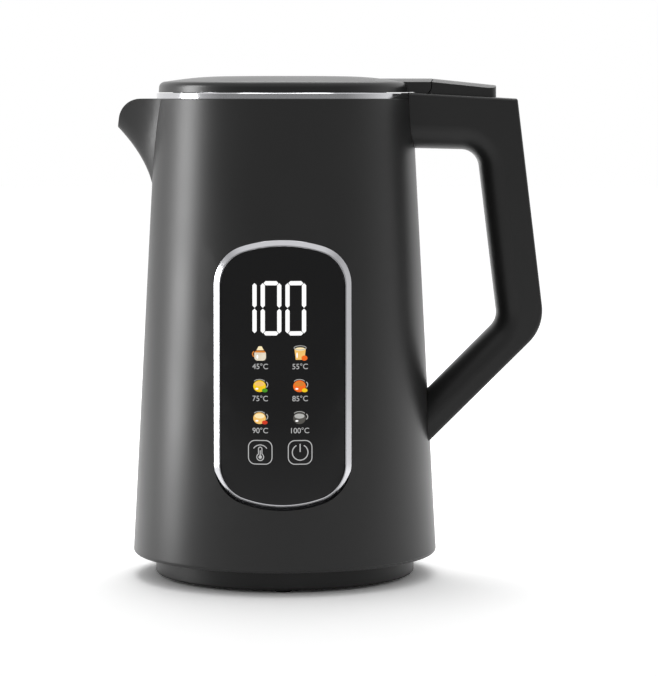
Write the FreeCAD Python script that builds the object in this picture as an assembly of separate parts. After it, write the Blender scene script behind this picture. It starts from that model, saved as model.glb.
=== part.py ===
import FreeCAD, Part
import math
import os

os.makedirs("parts", exist_ok=True)

V = FreeCAD.Vector
UP = V(0, 0, 1)
ALONG_X = V(1, 0, 0)
ALONG_Y = V(0, 1, 0)
AXIS_POINT = V(0, 0, 0)
FAR = 400.0

# All sizes are in millimetres. Shapes are drawn about the swivel axis, with the table at height 0.
# The spout points along -X, the handle along +X and the display faces -Y. Cutting blocks reach FAR.

# Power base
FOOT_DROP = 1.5
FOOT_R = 4.0
FOOT_INSET = 7.5
FOOT_COUNT = 5
BASE_R = 62.5
BASE_TOP_Z = 15.0
BASE_WALL = 2.2
BASE_FLOOR = 2.4
BASE_DISH = 1.4
CORD_R = 3.0
CORD_GRIP = 10.0

# Round power connector
POST_R = 17.0
POST_TOP_Z = 25.0
PIN_R = 2.6
BLADE_R = 9.8
BLADE_WALL = 0.9

# Body shell and inner pot
SKIRT_Z = 11.0
SKIRT_R = 73.3
RIM_Z = 229.5
RIM_R = 61.4
SHELL_WALL = 2.6
POT_GAP = 4.2
POT_FOOT_GAP = 1.9
POT_CORNER = 2.0
POT_WALL = 0.6
POT_FLOOR_Z = 46.6
RING_H = 2.7

# Heater and power board
PLATE_INSET = 8.3
ELEMENT_INSET = 22.1
ELEMENT_R = 4.0
POWER_BOARD_HALF = 23.5
POWER_BOARD_DEPTH = 27.0
POWER_BOARD_INSET = 10.6

# Beak spout
SPOUT_REACH = 79.9
SPOUT_DROP = 13.6
SPOUT_DEPTH = 40.8
SPOUT_HALF = 20.7
SPOUT_WALL = 2.4

# Lid with its tail
LID_EDGE = 4.7
LID_CROWN = 3.1
LID_ROUND = 3.0
LID_WALL = 2.2
TAIL_HALF = 13.3
TAIL_CROWN = 1.7
HINGE_OUT = 3.6
BARREL_R = 6.7
HINGE_PIN_R = 0.95

# Thumb button
BUTTON_LENGTH = 29.0
BUTTON_FALL = 3.0
BUTTON_WALL = 1.9

# Handle
KNEE_OUT = 63.2
KNEE_DOWN = 109.0
KNEE_R = 21.5
FINGER_R = 9.0
FINGER_ROUND = 11.4
OUTER_ROUND = 1.6
ARM_FALL = 70.0
GRIP_LEAN = 0.1215
GRIP_DEPTH = 21.75
ARM_DEPTH = 17.7
HEAD_DEPTH = 24.4
HANDLE_HALF = 16.2
HANDLE_HALF_LOW = 12.2
HANDLE_COVER = 2.1
COVER_EDGE = 2.8

# Display panel
PANEL_HALF = 31.85
PANEL_LOW_Z = 40.1
PANEL_HIGH_Z = 164.7
PANEL_CORNER = 18.8
PANEL_SLOPE = 18.0
BEZEL_WIDTH = 2.8
BEZEL_PROUD = 0.9

# Fits
RUN = 0.05
GAP = 0.4
SEAT = 0.3
SCREW_R = 1.4

# Heights and radii that follow from the sizes above
floor_top = FOOT_DROP + BASE_FLOOR
land_r = BASE_R - 7.0
dish_z = BASE_TOP_Z - BASE_DISH
dish_under = dish_z - BASE_WALL
post_hole_r = POST_R + 0.3
flange_z = dish_under - 2.5
gland_r = CORD_R + 1.0
gland_z = floor_top - 0.9 + gland_r
contact_wall = 0.9
pin_hole_r = PIN_R + GAP + contact_wall
groove_in_r = BLADE_R - BLADE_WALL / 2 - GAP
groove_out_r = BLADE_R + BLADE_WALL / 2 + GAP + contact_wall
groove_z = POST_TOP_Z - 10.0
socket_in_r = POST_R + GAP
socket_out_r = socket_in_r + 3.0
socket_roof = POST_TOP_Z + 0.6
socket_top = socket_roof + 3.0
cover_low = BASE_TOP_Z + 1.2
cover_top = cover_low + 2.4
plate_z = POT_FLOOR_Z - POT_WALL
plate_wall = 4.0
element_z = plate_z - plate_wall - ELEMENT_R
tip_z = RIM_Z - SPOUT_DROP
root_z = RIM_Z - SPOUT_DEPTH
ring_top = RIM_Z + RING_H
lid_z = ring_top + SEAT
crease_z = lid_z + LID_EDGE
crown_z = crease_z + LID_CROWN
lid_r = RIM_R - 1.2
tail_top = crown_z - 1.2
tail_low = lid_z + 0.1
hinge_x = RIM_R + HINGE_OUT
hinge_z = tail_top - 3.2
button_x = hinge_x + BARREL_R + GAP
button_end = button_x + BUTTON_LENGTH
rocker_x = button_x + 4.0
knee_x = RIM_R + KNEE_OUT
knee_z = RIM_Z - KNEE_DOWN
head_low = RIM_Z - HEAD_DEPTH
handle_top = RIM_Z + 2.9
head_fall = 0.056
heel_low = handle_top - 0.8
deck_z = RIM_Z - 4.5
deck_wall = 2.5
rocker_z = deck_z + 5.4
pocket_half = TAIL_HALF + 0.4
pocket_end = button_end + 0.7
cup_x = button_end - 9.0
cup_r = 5.2
board_half = 15.5
board_low = PANEL_LOW_Z + 22.0
board_high = PANEL_HIGH_Z - 9.0
board_in = 4.3
board_wall = 1.6
cone_tilt = math.degrees(math.atan2(SKIRT_R - RIM_R, RIM_Z - SKIRT_Z))
power_board_z = cover_top + 2.4


def outline(corners, place):
    """Closed outline of straight runs joined by tangent arcs.

    Args:
        corners: (u, v, radius) of each corner in order.
        place: function that turns u and v into a point in space.
    Returns:
        The closed wire.
    """
    runs = []
    for i, (u, v, radius) in enumerate(corners):
        here = V(u, v, 0)
        before = V(corners[i - 1][0], corners[i - 1][1], 0) - here
        after = V(corners[(i + 1) % len(corners)][0], corners[(i + 1) % len(corners)][1], 0) - here
        before.normalize()
        after.normalize()
        if radius == 0:
            runs.append((here, here, here))
            continue
        half = before.getAngle(after) / 2
        reach = radius / math.tan(half)
        inward = before + after
        inward.normalize()
        middle = here + inward * (radius / math.sin(half) - radius)
        runs.append((here + before * reach, middle, here + after * reach))
    edges = []
    for i, (start, middle, end) in enumerate(runs):
        if start != end:
            edges.append(Part.Arc(place(*start[:2]), place(*middle[:2]), place(*end[:2])).toShape())
        following = runs[(i + 1) % len(runs)][0]
        if (following - end).Length > 1e-6:
            edges.append(Part.makeLine(place(*end[:2]), place(*following[:2])))
    return Part.Wire(edges)


def spun(corners, turn=360.0):
    """Solid of an outline of (radius, height) corners turned about the swivel axis."""
    face = Part.Face(outline(corners, lambda u, v: V(u, 0, v)))
    return face.revolve(AXIS_POINT, UP, turn)


def across(corners, half):
    """Solid of an outline of (x, height) corners that reaches half a width to each side."""
    face = Part.Face(outline(corners, lambda u, v: V(u, -half, v)))
    return face.extrude(ALONG_Y * (2 * half))


def along(corners, x0, x1):
    """Solid of an outline of (y, height) corners drawn from x0 to x1."""
    face = Part.Face(outline(corners, lambda u, v: V(x0, u, v)))
    return face.extrude(ALONG_X * (x1 - x0))


def box(x0, x1, y0, y1, z0, z1):
    """Box between its low and high faces on each axis."""
    return Part.makeBox(x1 - x0, y1 - y0, z1 - z0, V(x0, y0, z0))


def rod(x, y, z0, z1, radius):
    """Upright cylinder between two heights."""
    return Part.makeCylinder(radius, z1 - z0, V(x, y, z0))


def cross_rod(x, z, y0, y1, radius):
    """Cylinder along the width between two sides."""
    return Part.makeCylinder(radius, y1 - y0, V(x, y0, z), ALONG_Y)


def tube(inner, outer, z0, z1):
    """Upright ring about the swivel axis."""
    return rod(0, 0, z0, z1, outer).cut(rod(0, 0, z0, z1, inner))


def joined(shapes):
    """One solid from shapes that meet."""
    return shapes[0].multiFuse(shapes[1:]).removeSplitter()


def around(count, radius, start):
    """Points spaced evenly on a circle about the swivel axis, from a start angle in degrees."""
    angles = [math.radians(start + 360.0 * i / count) for i in range(count)]
    return [(radius * math.cos(a), radius * math.sin(a)) for a in angles]


def screw(head_r, head_h, length):
    """Pan-head screw with its head at height 0, a cross recess below and its shank upwards."""
    head = spun([(0, 0, 0), (head_r, 0, head_h * 0.6), (head_r, head_h, 0), (0, head_h, 0)])
    body = joined([head, rod(0, 0, head_h, head_h + length, SCREW_R)])
    arm = head_r * 0.6
    slot = box(-arm, arm, -0.3, 0.3, -1, head_h * 0.5)
    return body.cut(slot).cut(slot.rotated(AXIS_POINT, UP, 90))


def shell_r(z):
    """Outer radius of the conical body at a height."""
    return SKIRT_R + (RIM_R - SKIRT_R) * (z - SKIRT_Z) / (RIM_Z - SKIRT_Z)


def pot_r(z):
    """Inner radius of the pot at a height."""
    top = RIM_R - SHELL_WALL - POT_GAP - POT_WALL
    low = shell_r(POT_FLOOR_Z) - SHELL_WALL - POT_GAP - POT_FOOT_GAP - POT_WALL
    return low + (top - low) * (z - POT_FLOOR_Z) / (RIM_Z - POT_FLOOR_Z)


def cone(inset, z0=SKIRT_Z, z1=RIM_Z):
    """Solid cone that lies a set distance inside the body's outer face."""
    return Part.makeCone(shell_r(z0) - inset, shell_r(z1) - inset, z1 - z0, V(0, 0, z0))


def pot_cone(inset, z0, z1):
    """Solid cone that lies a set distance inside the pot's inner face."""
    return Part.makeCone(pot_r(z0) - inset, pot_r(z1) - inset, z1 - z0, V(0, 0, z0))


pot_top_r = pot_r(RIM_Z)
pot_flange_r = RIM_R - 1.8
seal_z = RIM_Z - POT_WALL - 1.0
base_screw_points = around(3, BASE_R - 20.0, 30.0)
cover_r = shell_r(cover_top) - SHELL_WALL - 0.15
cover_screw_points = around(4, cover_r - 5.5, 45.0)
foot_points = around(FOOT_COUNT, BASE_R - FOOT_INSET, -90.0)
head_room = 1.5
element_circle_r = pot_r(POT_FLOOR_Z) - ELEMENT_INSET
power_board_front = POWER_BOARD_INSET - cover_r
power_board_rear = power_board_front + POWER_BOARD_DEPTH


def base_cover():
    """Dished top cover of the power base, with screw posts and a hole for the cord bushing."""
    slope_r = land_r - BASE_DISH
    wall = spun([
        (BASE_R, FOOT_DROP, 1.0),
        (BASE_R, BASE_TOP_Z, 2.4),
        (land_r, BASE_TOP_Z, 0),
        (slope_r, dish_z, 0),
        (post_hole_r, dish_z, 0),
        (post_hole_r, dish_under, 0),
        (slope_r - 1.0, dish_under, 0),
        (land_r - 1.0, BASE_TOP_Z - BASE_WALL, 0),
        (BASE_R - BASE_WALL, BASE_TOP_Z - BASE_WALL, 0.6),
        (BASE_R - BASE_WALL, FOOT_DROP, 0),
    ])
    posts = [rod(x, y, floor_top, dish_under + 0.5, 3.6) for x, y in base_screw_points]
    cover = joined([wall] + posts)
    for x, y in base_screw_points:
        cover = cover.cut(rod(x, y, floor_top, floor_top + 6.2, SCREW_R + RUN))
    return cover.cut(Part.makeCylinder(gland_r, BASE_R, V(0, 20, gland_z), ALONG_Y))


def base_floor():
    """Floor plate of the power base, with foot pockets, sunk screw holes and the connector's ring seat."""
    radius = BASE_R - BASE_WALL - 0.2
    floor = joined([rod(0, 0, FOOT_DROP, floor_top, radius), tube(POST_R - 3, POST_R + 2, floor_top, flange_z)])
    for x, y in foot_points:
        floor = floor.cut(rod(x, y, FOOT_DROP, FOOT_DROP + 1.0, FOOT_R))
    for x, y in base_screw_points:
        floor = floor.cut(rod(x, y, FOOT_DROP, floor_top, SCREW_R + 0.2))
        floor = floor.cut(rod(x, y, FOOT_DROP, FOOT_DROP + head_room, 3.2))
    notch = gland_r + 0.2
    return floor.cut(box(-notch, notch, BASE_R - CORD_GRIP - 4.0, BASE_R, FOOT_DROP + 0.8, floor_top + 1))


def base_feet():
    """Rubber feet, pressed into the floor plate's pockets."""
    corners = [(0, 0, 0), (FOOT_R, 0, 0.5), (FOOT_R, FOOT_DROP + 1.0, 0), (0, FOOT_DROP + 1.0, 0)]
    foot = spun(corners)
    return Part.makeCompound([foot.translated(V(x, y, 0)) for x, y in foot_points])


def base_screws():
    """Screws that hold the floor plate to the base cover."""
    one = screw(2.8, head_room - 0.1, 6.5)
    return Part.makeCompound([one.translated(V(x, y, FOOT_DROP + 0.1)) for x, y in base_screw_points])


def base_contacts():
    """Brass sleeve and ring of the base's connector, each with a round terminal below."""
    low = flange_z - 3.0
    sleeve = tube(pin_hole_r - contact_wall, pin_hole_r, groove_z, POST_TOP_Z - 2.0)
    pin_end = joined([sleeve, tube(0.5, pin_hole_r, groove_z - 0.8, groove_z), rod(0, 0, low, groove_z, 1.4)])
    hoop = tube(groove_out_r - contact_wall, groove_out_r, groove_z, POST_TOP_Z - 2.0)
    hoop_end = joined([hoop, rod(0, groove_out_r - 0.7, low, groove_z + 0.5, 0.7)])
    return Part.makeCompound([pin_end, hoop_end])


def base_connector():
    """Round moulded post of the base, with the pin hole and the ring groove."""
    post = spun([
        (0, flange_z, 0),
        (POST_R + 5.0, flange_z, 0),
        (POST_R + 5.0, dish_under, 0),
        (POST_R, dish_under, 0),
        (POST_R, POST_TOP_Z, 1.6),
        (groove_out_r, POST_TOP_Z, 0.5),
        (groove_out_r, groove_z, 0),
        (groove_in_r, groove_z, 0),
        (groove_in_r, POST_TOP_Z, 0.5),
        (pin_hole_r, POST_TOP_Z, 0.5),
        (pin_hole_r, groove_z, 0),
        (0, groove_z, 0),
    ])
    return post.cut(base_contacts())


def cord_bushing():
    """Rubber bushing in the base's rear wall, with the cord's bore."""
    inner = BASE_R - CORD_GRIP
    sleeve = Part.makeCylinder(gland_r, CORD_GRIP, V(0, inner, gland_z), ALONG_Y)
    collar = Part.makeCylinder(gland_r + 0.9, 2.2, V(0, BASE_R - 0.05, gland_z), ALONG_Y)
    stop = Part.makeCylinder(gland_r + 0.9, 1.6, V(0, BASE_R - BASE_WALL - 2.2, gland_z), ALONG_Y)
    stop = stop.common(box(-9, 9, 0, BASE_R, floor_top - 1.4, BASE_TOP_Z - BASE_WALL - 0.1))
    whole = joined([sleeve, collar.cut(rod(0, 0, 0, BASE_TOP_Z, BASE_R)), stop])
    return whole.cut(Part.makeCylinder(CORD_R, FAR, V(0, inner - CORD_GRIP, gland_z), ALONG_Y))


def socket_pins():
    """Brass pin and ring blade of the kettle's round socket."""
    low = groove_z + 1.6
    pin = spun([(0, low, 0), (PIN_R, low, 1.2), (PIN_R, socket_top + 1.6, 0), (0, socket_top + 1.6, 0)])
    blade = tube(BLADE_R - BLADE_WALL / 2, BLADE_R + BLADE_WALL / 2, low, socket_roof + 2.0)
    return Part.makeCompound([pin, blade])


def round_socket():
    """Moulded cup of the kettle's round socket, turning freely in the bottom cover."""
    low = dish_z + 1.6
    flange = cover_top + GAP
    cup = spun([
        (0, socket_roof, 0),
        (socket_in_r, socket_roof, 0),
        (socket_in_r, low, 0.8),
        (socket_out_r, low, 0.8),
        (socket_out_r, flange, 0),
        (socket_out_r + 4.0, flange, 0),
        (socket_out_r + 4.0, flange + 2.0, 0),
        (socket_out_r, flange + 2.0, 0),
        (socket_out_r, socket_top, 1.0),
        (0, socket_top, 0),
    ])
    return cup.cut(socket_pins())


def bottom_cover():
    """Cover under the kettle, with its ring seat, the socket's hole and board posts."""
    seat = tube(land_r + 0.8, BASE_R - 2.6, BASE_TOP_Z + SEAT, cover_low)
    plate = tube(socket_out_r + GAP, cover_r, cover_low, cover_top)
    posts = [rod(x, y, cover_top, power_board_z, 2.6) for x, y in board_posts()]
    cover = joined([plate, seat] + posts)
    for x, y in cover_screw_points:
        cover = cover.cut(rod(x, y, cover_low, cover_top, SCREW_R + 0.2))
        cover = cover.cut(rod(x, y, cover_low, cover_low + head_room, 3.3))
    for x, y in board_posts():
        cover = cover.cut(rod(x, y, cover_top - 1.0, power_board_z, SCREW_R + RUN))
    return cover


def bottom_screws():
    """Screws that hold the bottom cover to the shell's posts."""
    one = screw(2.8, head_room - 0.1, 8.0)
    return Part.makeCompound([one.translated(V(x, y, cover_low + 0.1)) for x, y in cover_screw_points])


def spout_section(z, wall):
    """Outline of the spout at a height, a wall's thickness inside its outer face."""
    t = (z - root_z) / (tip_z - root_z)
    root_r = shell_r(root_z)
    nose = root_r + (0.42 * t + 0.58 * t * t) * (SPOUT_REACH - root_r) - wall * 1.2
    half = SPOUT_HALF * (max(t, 0.02) / 1.5) ** 0.45 - wall
    back = math.sqrt(shell_r(z) ** 2 - half ** 2) - 1.5
    shares = [(0, 1), (0.3, 0.62), (0.62, 0.39), (0.86, 0.23)]
    side = [V(-(back + s * (nose - back)), k * half, z) for s, k in shares]
    other = [V(p.x, -p.y, z) for p in reversed(side)]
    curve = Part.BSplineCurve()
    curve.interpolate(side + [V(-nose, 0, z)] + other)
    inner = back - 12.0
    path = [other[-1], V(-inner, -half, z), V(-inner, half, z), side[0]]
    lines = [Part.makeLine(a, b) for a, b in zip(path, path[1:])]
    return Part.Wire([curve.toShape()] + lines)


def spout_body(wall, low):
    """Flaring beak from a low height to above the rim, a wall's thickness inside its outer face."""
    shares = (0, 0.12, 0.28, 0.5, 0.75, 1)
    high = RIM_Z + 2.0
    return Part.makeLoft([spout_section(low + (high - low) * s, wall) for s in shares], True)


def lip_cut():
    """Everything above and in front of the beak's rounded lip."""
    far = SPOUT_REACH + 40.0
    return across([
        (-RIM_R / 2, RIM_Z, 0),
        (-(SPOUT_REACH - 2.3), RIM_Z, 11.0),
        (-(SPOUT_REACH + 0.8), tip_z - 5.0, 0),
        (-far, tip_z - 5.0, 0),
        (-far, RIM_Z + 30.0, 0),
        (-RIM_R / 2, RIM_Z + 30.0, 0),
    ], SPOUT_REACH)


def spout_window(grow):
    """Prism of the pouring window through the pot's wall."""
    low = root_z + 14.0 - grow
    high = RIM_Z - 6.5 + grow
    half = SPOUT_HALF - 6.2 + grow
    foot = half - 6.5
    return along([
        (-foot, low, 2.0),
        (foot, low, 2.0),
        (half, low + 10.0, 2.0),
        (half, high, 2.0),
        (-half, high, 2.0),
        (-half, low + 10.0, 2.0),
    ], -SPOUT_REACH, -pot_top_r / 2)


def collar_wedge():
    """Wedge over the handle's root, where the shell's rim rises beside the steel ring."""
    low = RIM_R * math.sin(math.radians(39))
    high = RIM_R * math.sin(math.radians(20))
    corners = [(-low, RIM_Z - 1.0, 0), (low, RIM_Z - 1.0, 0), (high, ring_top + 1.0, 0), (-high, ring_top + 1.0, 0)]
    return along(corners, RIM_R / 2, RIM_R + 5.0)


def panel_prism(inset):
    """Prism through the front wall with the panel's arched outline, a set distance inside it."""
    slope = math.radians(PANEL_SLOPE)
    half = PANEL_HALF - inset
    bend = PANEL_CORNER - inset
    corner_run = PANEL_CORNER * math.tan((math.pi / 2 - slope) / 2)
    arch_run = 0.995 * (PANEL_HALF / math.cos(slope) - corner_run)
    arch = arch_run / math.tan(slope)
    apex = arch * (1 / math.cos(slope) - 1) - inset / math.cos(slope)
    shoulder = apex - half * math.tan(slope)
    corners = [
        (-half, PANEL_LOW_Z - shoulder, bend),
        (0, PANEL_LOW_Z - apex, arch - inset),
        (half, PANEL_LOW_Z - shoulder, bend),
        (half, PANEL_HIGH_Z + shoulder, bend),
        (0, PANEL_HIGH_Z + apex, arch - inset),
        (-half, PANEL_HIGH_Z + shoulder, bend),
    ]
    face = Part.Face(outline(corners, lambda u, v: V(u, -20, v)))
    return face.extrude(ALONG_Y * -(SKIRT_R + 20.0))


def front_slab(x0, x1, deep, thick, z0, z1):
    """Flat slab behind the panel, leaned to follow the cone, its front face a set depth in."""
    front = shell_r((board_low + board_high) / 2) - deep
    return lean(box(x0, x1, -front, thick - front, z0, z1))


def lean(shape):
    """Shape behind the panel, leaned to follow the cone."""
    middle = (board_low + board_high) / 2
    return shape.rotated(V(0, -shell_r(middle), middle), ALONG_X, -cone_tilt)


def board_points():
    """Places of the display board's screws."""
    return [(x, z) for x in (-8.0, 8.0) for z in (board_low + 3.0, board_high - 3.0)]


def outer_shell():
    """Conical body shell with its beak spout, pot ledge, screw posts and panel opening."""
    ledge_r = pot_top_r + POT_WALL + 1.8
    slope_z = seal_z - 5.0
    wall = spun([
        (SKIRT_R, SKIRT_Z, 1.8),
        (RIM_R, RIM_Z, 0.5),
        (RIM_R - 1.6, RIM_Z, 0),
        (RIM_R - 1.6, seal_z, 0),
        (ledge_r, seal_z, 0),
        (ledge_r, seal_z - 1.4, 0),
        (shell_r(slope_z) - SHELL_WALL, slope_z, 0),
        (SKIRT_R - SHELL_WALL, SKIRT_Z, 0.6),
    ])
    posts = [rod(x, y, cover_top, cover_top + 13.0, 6.2) for x, y in cover_screw_points]
    posts = [p.common(cone(SHELL_WALL / 2)) for p in posts]
    beak = spout_body(0, root_z - 2.0).cut(lip_cut()).cut(cone(SHELL_WALL / 2, SKIRT_Z, RIM_Z + 5.0))
    collar = tube(RIM_R - 1.5, RIM_R - 0.1, RIM_Z, ring_top).common(collar_wedge())
    pad = cone(SHELL_WALL - 0.4).cut(cone(SHELL_WALL + 1.6)).common(panel_prism(-2.5))
    shell = joined([wall, beak, collar, pad] + posts)
    channel = spout_body(SPOUT_WALL, root_z + 8.0)
    shell = shell.cut(channel.cut(cone(0.02, SKIRT_Z, RIM_Z + 5.0)))
    shell = shell.cut(channel.common(box(-FAR, 0, -FAR, FAR, root_z, seal_z - 2.6)))
    shell = shell.cut(panel_prism(0).cut(cone(1.9)))
    bars = [front_slab(-PANEL_HALF, PANEL_HALF, -9, 30, z - 3.0, z + 3.0) for z in (board_low + 3, board_high - 3)]
    shell = shell.cut(panel_prism(BEZEL_WIDTH + 1.7).cut(bars[0]).cut(bars[1]))
    shell = shell.cut(front_slab(-board_half - 0.2, board_half + 0.2, board_in, 9, board_low - 0.2, board_high + 0.2))
    for x, z in board_points():
        hole = Part.makeCylinder(SCREW_R + RUN, 2.0, V(x, -shell_r((board_low + board_high) / 2) + 2.3, z), ALONG_Y)
        shell = shell.cut(lean(hole))
    for x, y in cover_screw_points:
        shell = shell.cut(rod(x, y, cover_top, cover_top + 8.0, SCREW_R + RUN))
    for z in handle_screw_heights():
        shell = shell.cut(Part.makeCylinder(SCREW_R + 0.2, 30, V(shell_r(z) - 10, 0, z), ALONG_X))
    return shell


def inner_pot():
    """Drawn steel pot with its rim flange and the pouring window."""
    low_r = pot_r(POT_FLOOR_Z)
    pot = spun([
        (0, plate_z, 0),
        (low_r + POT_WALL, plate_z, POT_CORNER + POT_WALL),
        (pot_top_r + POT_WALL, RIM_Z - POT_WALL, 0),
        (pot_flange_r, RIM_Z - POT_WALL, 0),
        (pot_flange_r, RIM_Z, 0),
        (pot_top_r, RIM_Z, 0),
        (low_r, POT_FLOOR_Z, POT_CORNER),
        (0, POT_FLOOR_Z, 0),
    ])
    return pot.cut(spout_window(0))


def rim_ring():
    """Polished steel ring that caps the pot's flange and the shell's rim."""
    bevel = 0.4
    edge = RIM_R - 0.2
    ring = spun([
        (pot_top_r, RIM_Z, 0),
        (edge, RIM_Z, 0),
        (edge, ring_top - bevel, 0),
        (edge - bevel, ring_top, 0),
        (pot_top_r + bevel, ring_top, 0),
        (pot_top_r, ring_top - bevel, 0),
    ])
    outer = tube(RIM_R - 1.6, RIM_R + 1.0, RIM_Z - 2.0, ring_top + 2.0)
    return ring.cut(outer.common(collar_wedge()))


def rim_seal():
    """Silicone ring between the pot's flange and the shell's ledge."""
    return tube(pot_top_r + POT_WALL + 0.5, pot_flange_r, seal_z, RIM_Z - POT_WALL)


def spout_seal():
    """Silicone frame that joins the pot's window to the shell's channel."""
    low = root_z + 5.0
    high = seal_z - 5.2
    room = cone(SHELL_WALL, low, high).cut(pot_cone(-POT_WALL, low, high))
    return room.common(spout_window(2.6).cut(spout_window(0)))


def spout_strainer():
    """Punched steel sheet over the inside of the pouring window."""
    low = root_z + 11.0
    high = RIM_Z - 4.0
    half = SPOUT_HALF - 3.5
    sheet = pot_cone(0.05, low, high).cut(pot_cone(0.55, low, high))
    sheet = sheet.common(box(-RIM_R, 0, -half, half, low, high))
    rows = int((high - low - 10.0) / 3.6)
    for row in range(rows + 1):
        z = high - 5.0 - 3.6 * row
        reach = 3 if row > rows - 2 else 4
        for column in range(-reach, reach + 1):
            sheet = sheet.cut(Part.makeCylinder(1.1, RIM_R, V(-RIM_R, 3.3 * column, z), ALONG_X))
    return sheet


def heating_plate():
    """Aluminium plate under the pot's floor."""
    return rod(0, 0, plate_z - plate_wall, plate_z, pot_r(POT_FLOOR_Z) - PLATE_INSET)


def element_ends():
    """Places of the heating element's two cold ends."""
    angles = [math.radians(a) for a in (-110, -70)]
    return [(element_circle_r * math.cos(a), element_circle_r * math.sin(a)) for a in angles]


def heating_element():
    """Sheathed element bent to a ring under the plate, with cold ends that turn down."""
    profile = Part.Wire(Part.makeCircle(ELEMENT_R, V(element_circle_r, 0, element_z), ALONG_Y))
    loop = Part.Face(profile).revolve(AXIS_POINT, UP, 320).rotated(AXIS_POINT, UP, -70)
    ends = [rod(x, y, element_z - 8.0, element_z, 2.6) for x, y in element_ends()]
    return joined([loop] + ends)


def element_leads():
    """Insulated leads from the element's cold ends down to the power board."""
    top = element_z - 8.0
    return Part.makeCompound([rod(x, y, power_board_z + board_wall, top, 1.3) for x, y in element_ends()])


def thermal_cutouts():
    """Two dry-boil cut-outs under the plate, each a disc cap on a ceramic body."""
    top = plate_z - plate_wall
    one = joined([rod(0, 0, top - 2.5, top, 8.0), rod(0, 0, top - 8.0, top - 2.5, 6.5)])
    return Part.makeCompound([one.translated(V(x, 8.0, 0)) for x in (-17.0, 17.0)])


def temperature_probe():
    """Temperature sensor in its clip under the plate."""
    top = plate_z - plate_wall
    return joined([rod(0, -20.0, top - 7.0, top, 3.5), rod(0, -20.0, top - 1.2, top, 6.5)])


def board_posts():
    """Places of the power board's posts on the bottom cover."""
    edge = 3.5
    reach = POWER_BOARD_HALF - edge
    rows = (power_board_front + edge, power_board_rear - edge)
    return [(x, y) for x in (-reach, reach) for y in rows]


def power_board():
    """Power board over the bottom cover, under the element's cold ends."""
    half = POWER_BOARD_HALF
    top = power_board_z + board_wall
    board = box(-half, half, power_board_front, power_board_rear, power_board_z, top)
    for x, y in board_posts():
        board = board.cut(rod(x, y, power_board_z, top, SCREW_R + 0.1))
    return board


def power_board_screws():
    """Screws that hold the power board to its posts."""
    one = screw(2.4, 1.3, 3.8).rotated(AXIS_POINT, ALONG_X, 180)
    top = power_board_z + board_wall + 1.3
    return Part.makeCompound([one.translated(V(x, y, top)) for x, y in board_posts()])


def heater_relay():
    """Relay that switches the element, on the power board."""
    low = power_board_z + board_wall
    case = box(-7.5, 7.5, power_board_front + 7.5, power_board_rear - 1.5, low, low + 9.5)
    return case.makeFillet(0.6, [e for e in case.Edges if e.BoundBox.ZMax > low + 1])


def ribbon_cable():
    """Flat cable from the display board's foot down to the power board."""
    wall = 0.8
    front = -(shell_r(board_low) - board_in - board_wall) + 0.5
    low = power_board_z + board_wall
    inward = power_board_front + 6.0
    corners = [
        (front, board_low + 8.0, 0),
        (front, low, 6.0),
        (inward, low, 0),
        (inward, low + wall, 0),
        (front + wall, low + wall, 6.0 - wall),
        (front + wall, board_low + 8.0, 0),
    ]
    return along(corners, -4.5, 4.5)


def panel_bezel():
    """Polished frame round the display window."""
    band = panel_prism(0).cut(panel_prism(BEZEL_WIDTH))
    return band.common(cone(-BEZEL_PROUD).cut(cone(1.9)))


def panel_window():
    """Black clear-faced window inside the bezel."""
    return panel_prism(BEZEL_WIDTH + RUN).common(cone(0.1).cut(cone(1.9)))


def display_board():
    """Display and touch board behind the window."""
    board = front_slab(-board_half, board_half, board_in, board_wall, board_low, board_high)
    for x, z in board_points():
        hole = Part.makeCylinder(SCREW_R + 0.1, 20, V(x, -shell_r(z) - 5, z), ALONG_Y)
        board = board.cut(lean(hole))
    return board


def board_screws():
    """Screws that hold the display board to the shell's bars, from behind."""
    one = screw(2.4, 1.2, board_wall + 1.2).rotated(AXIS_POINT, ALONG_X, 90)
    back = -(shell_r((board_low + board_high) / 2) - board_in - board_wall) + 1.2
    return Part.makeCompound([lean(one.translated(V(x, back, z))) for x, z in board_points()])


def digit_module():
    """Numeric light module on the display board."""
    return front_slab(-13.0, 11.5, board_in - 0.8, 0.8, PANEL_HIGH_Z - 46.0, PANEL_HIGH_Z - 17.0)


def icon_module():
    """Light guide for the pictures and the touch keys, on the display board."""
    return front_slab(-13.0, 11.5, board_in - 0.8, 0.8, board_low + 7.0, PANEL_HIGH_Z - 47.0)


def grip_x(z):
    """Outer face of the grip at a height."""
    return knee_x - (z - knee_z) * GRIP_LEAN


def arm_x(z, inset):
    """Outer face of the sloping lower arm at a height, a set distance inside it."""
    return z + knee_x - knee_z - inset * math.sqrt(2)


def knee(outer_inset, arm_inset):
    """Corner where the grip meets the lower arm, a set distance inside each."""
    z = (grip_x(0) - outer_inset - arm_x(0, arm_inset)) / (1 + GRIP_LEAN)
    return arm_x(z, arm_inset), z


def handle_corners():
    """Corners of the handle's side outline, its ends inside the body."""
    inside = RIM_R - 16.0
    outer_knee = knee(0, 0)
    inner_knee = knee(GRIP_DEPTH, ARM_DEPTH)
    end_x = grip_x(handle_top)
    low_x = shell_r(knee_z) - 12.0
    return [
        (inside, handle_top + head_fall * (RIM_R - 2.0 - inside), 0),
        (end_x, handle_top - head_fall * (end_x - RIM_R + 2.0), 1.2),
        (outer_knee[0], outer_knee[1], KNEE_R),
        (low_x, low_x - arm_x(0, 0), 0),
        (low_x, low_x - arm_x(0, ARM_DEPTH), 0),
        (inner_knee[0], inner_knee[1], FINGER_R),
        (grip_x(head_low) - GRIP_DEPTH, head_low, FINGER_R),
        (inside, head_low + 1.2, 0),
    ]


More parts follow.
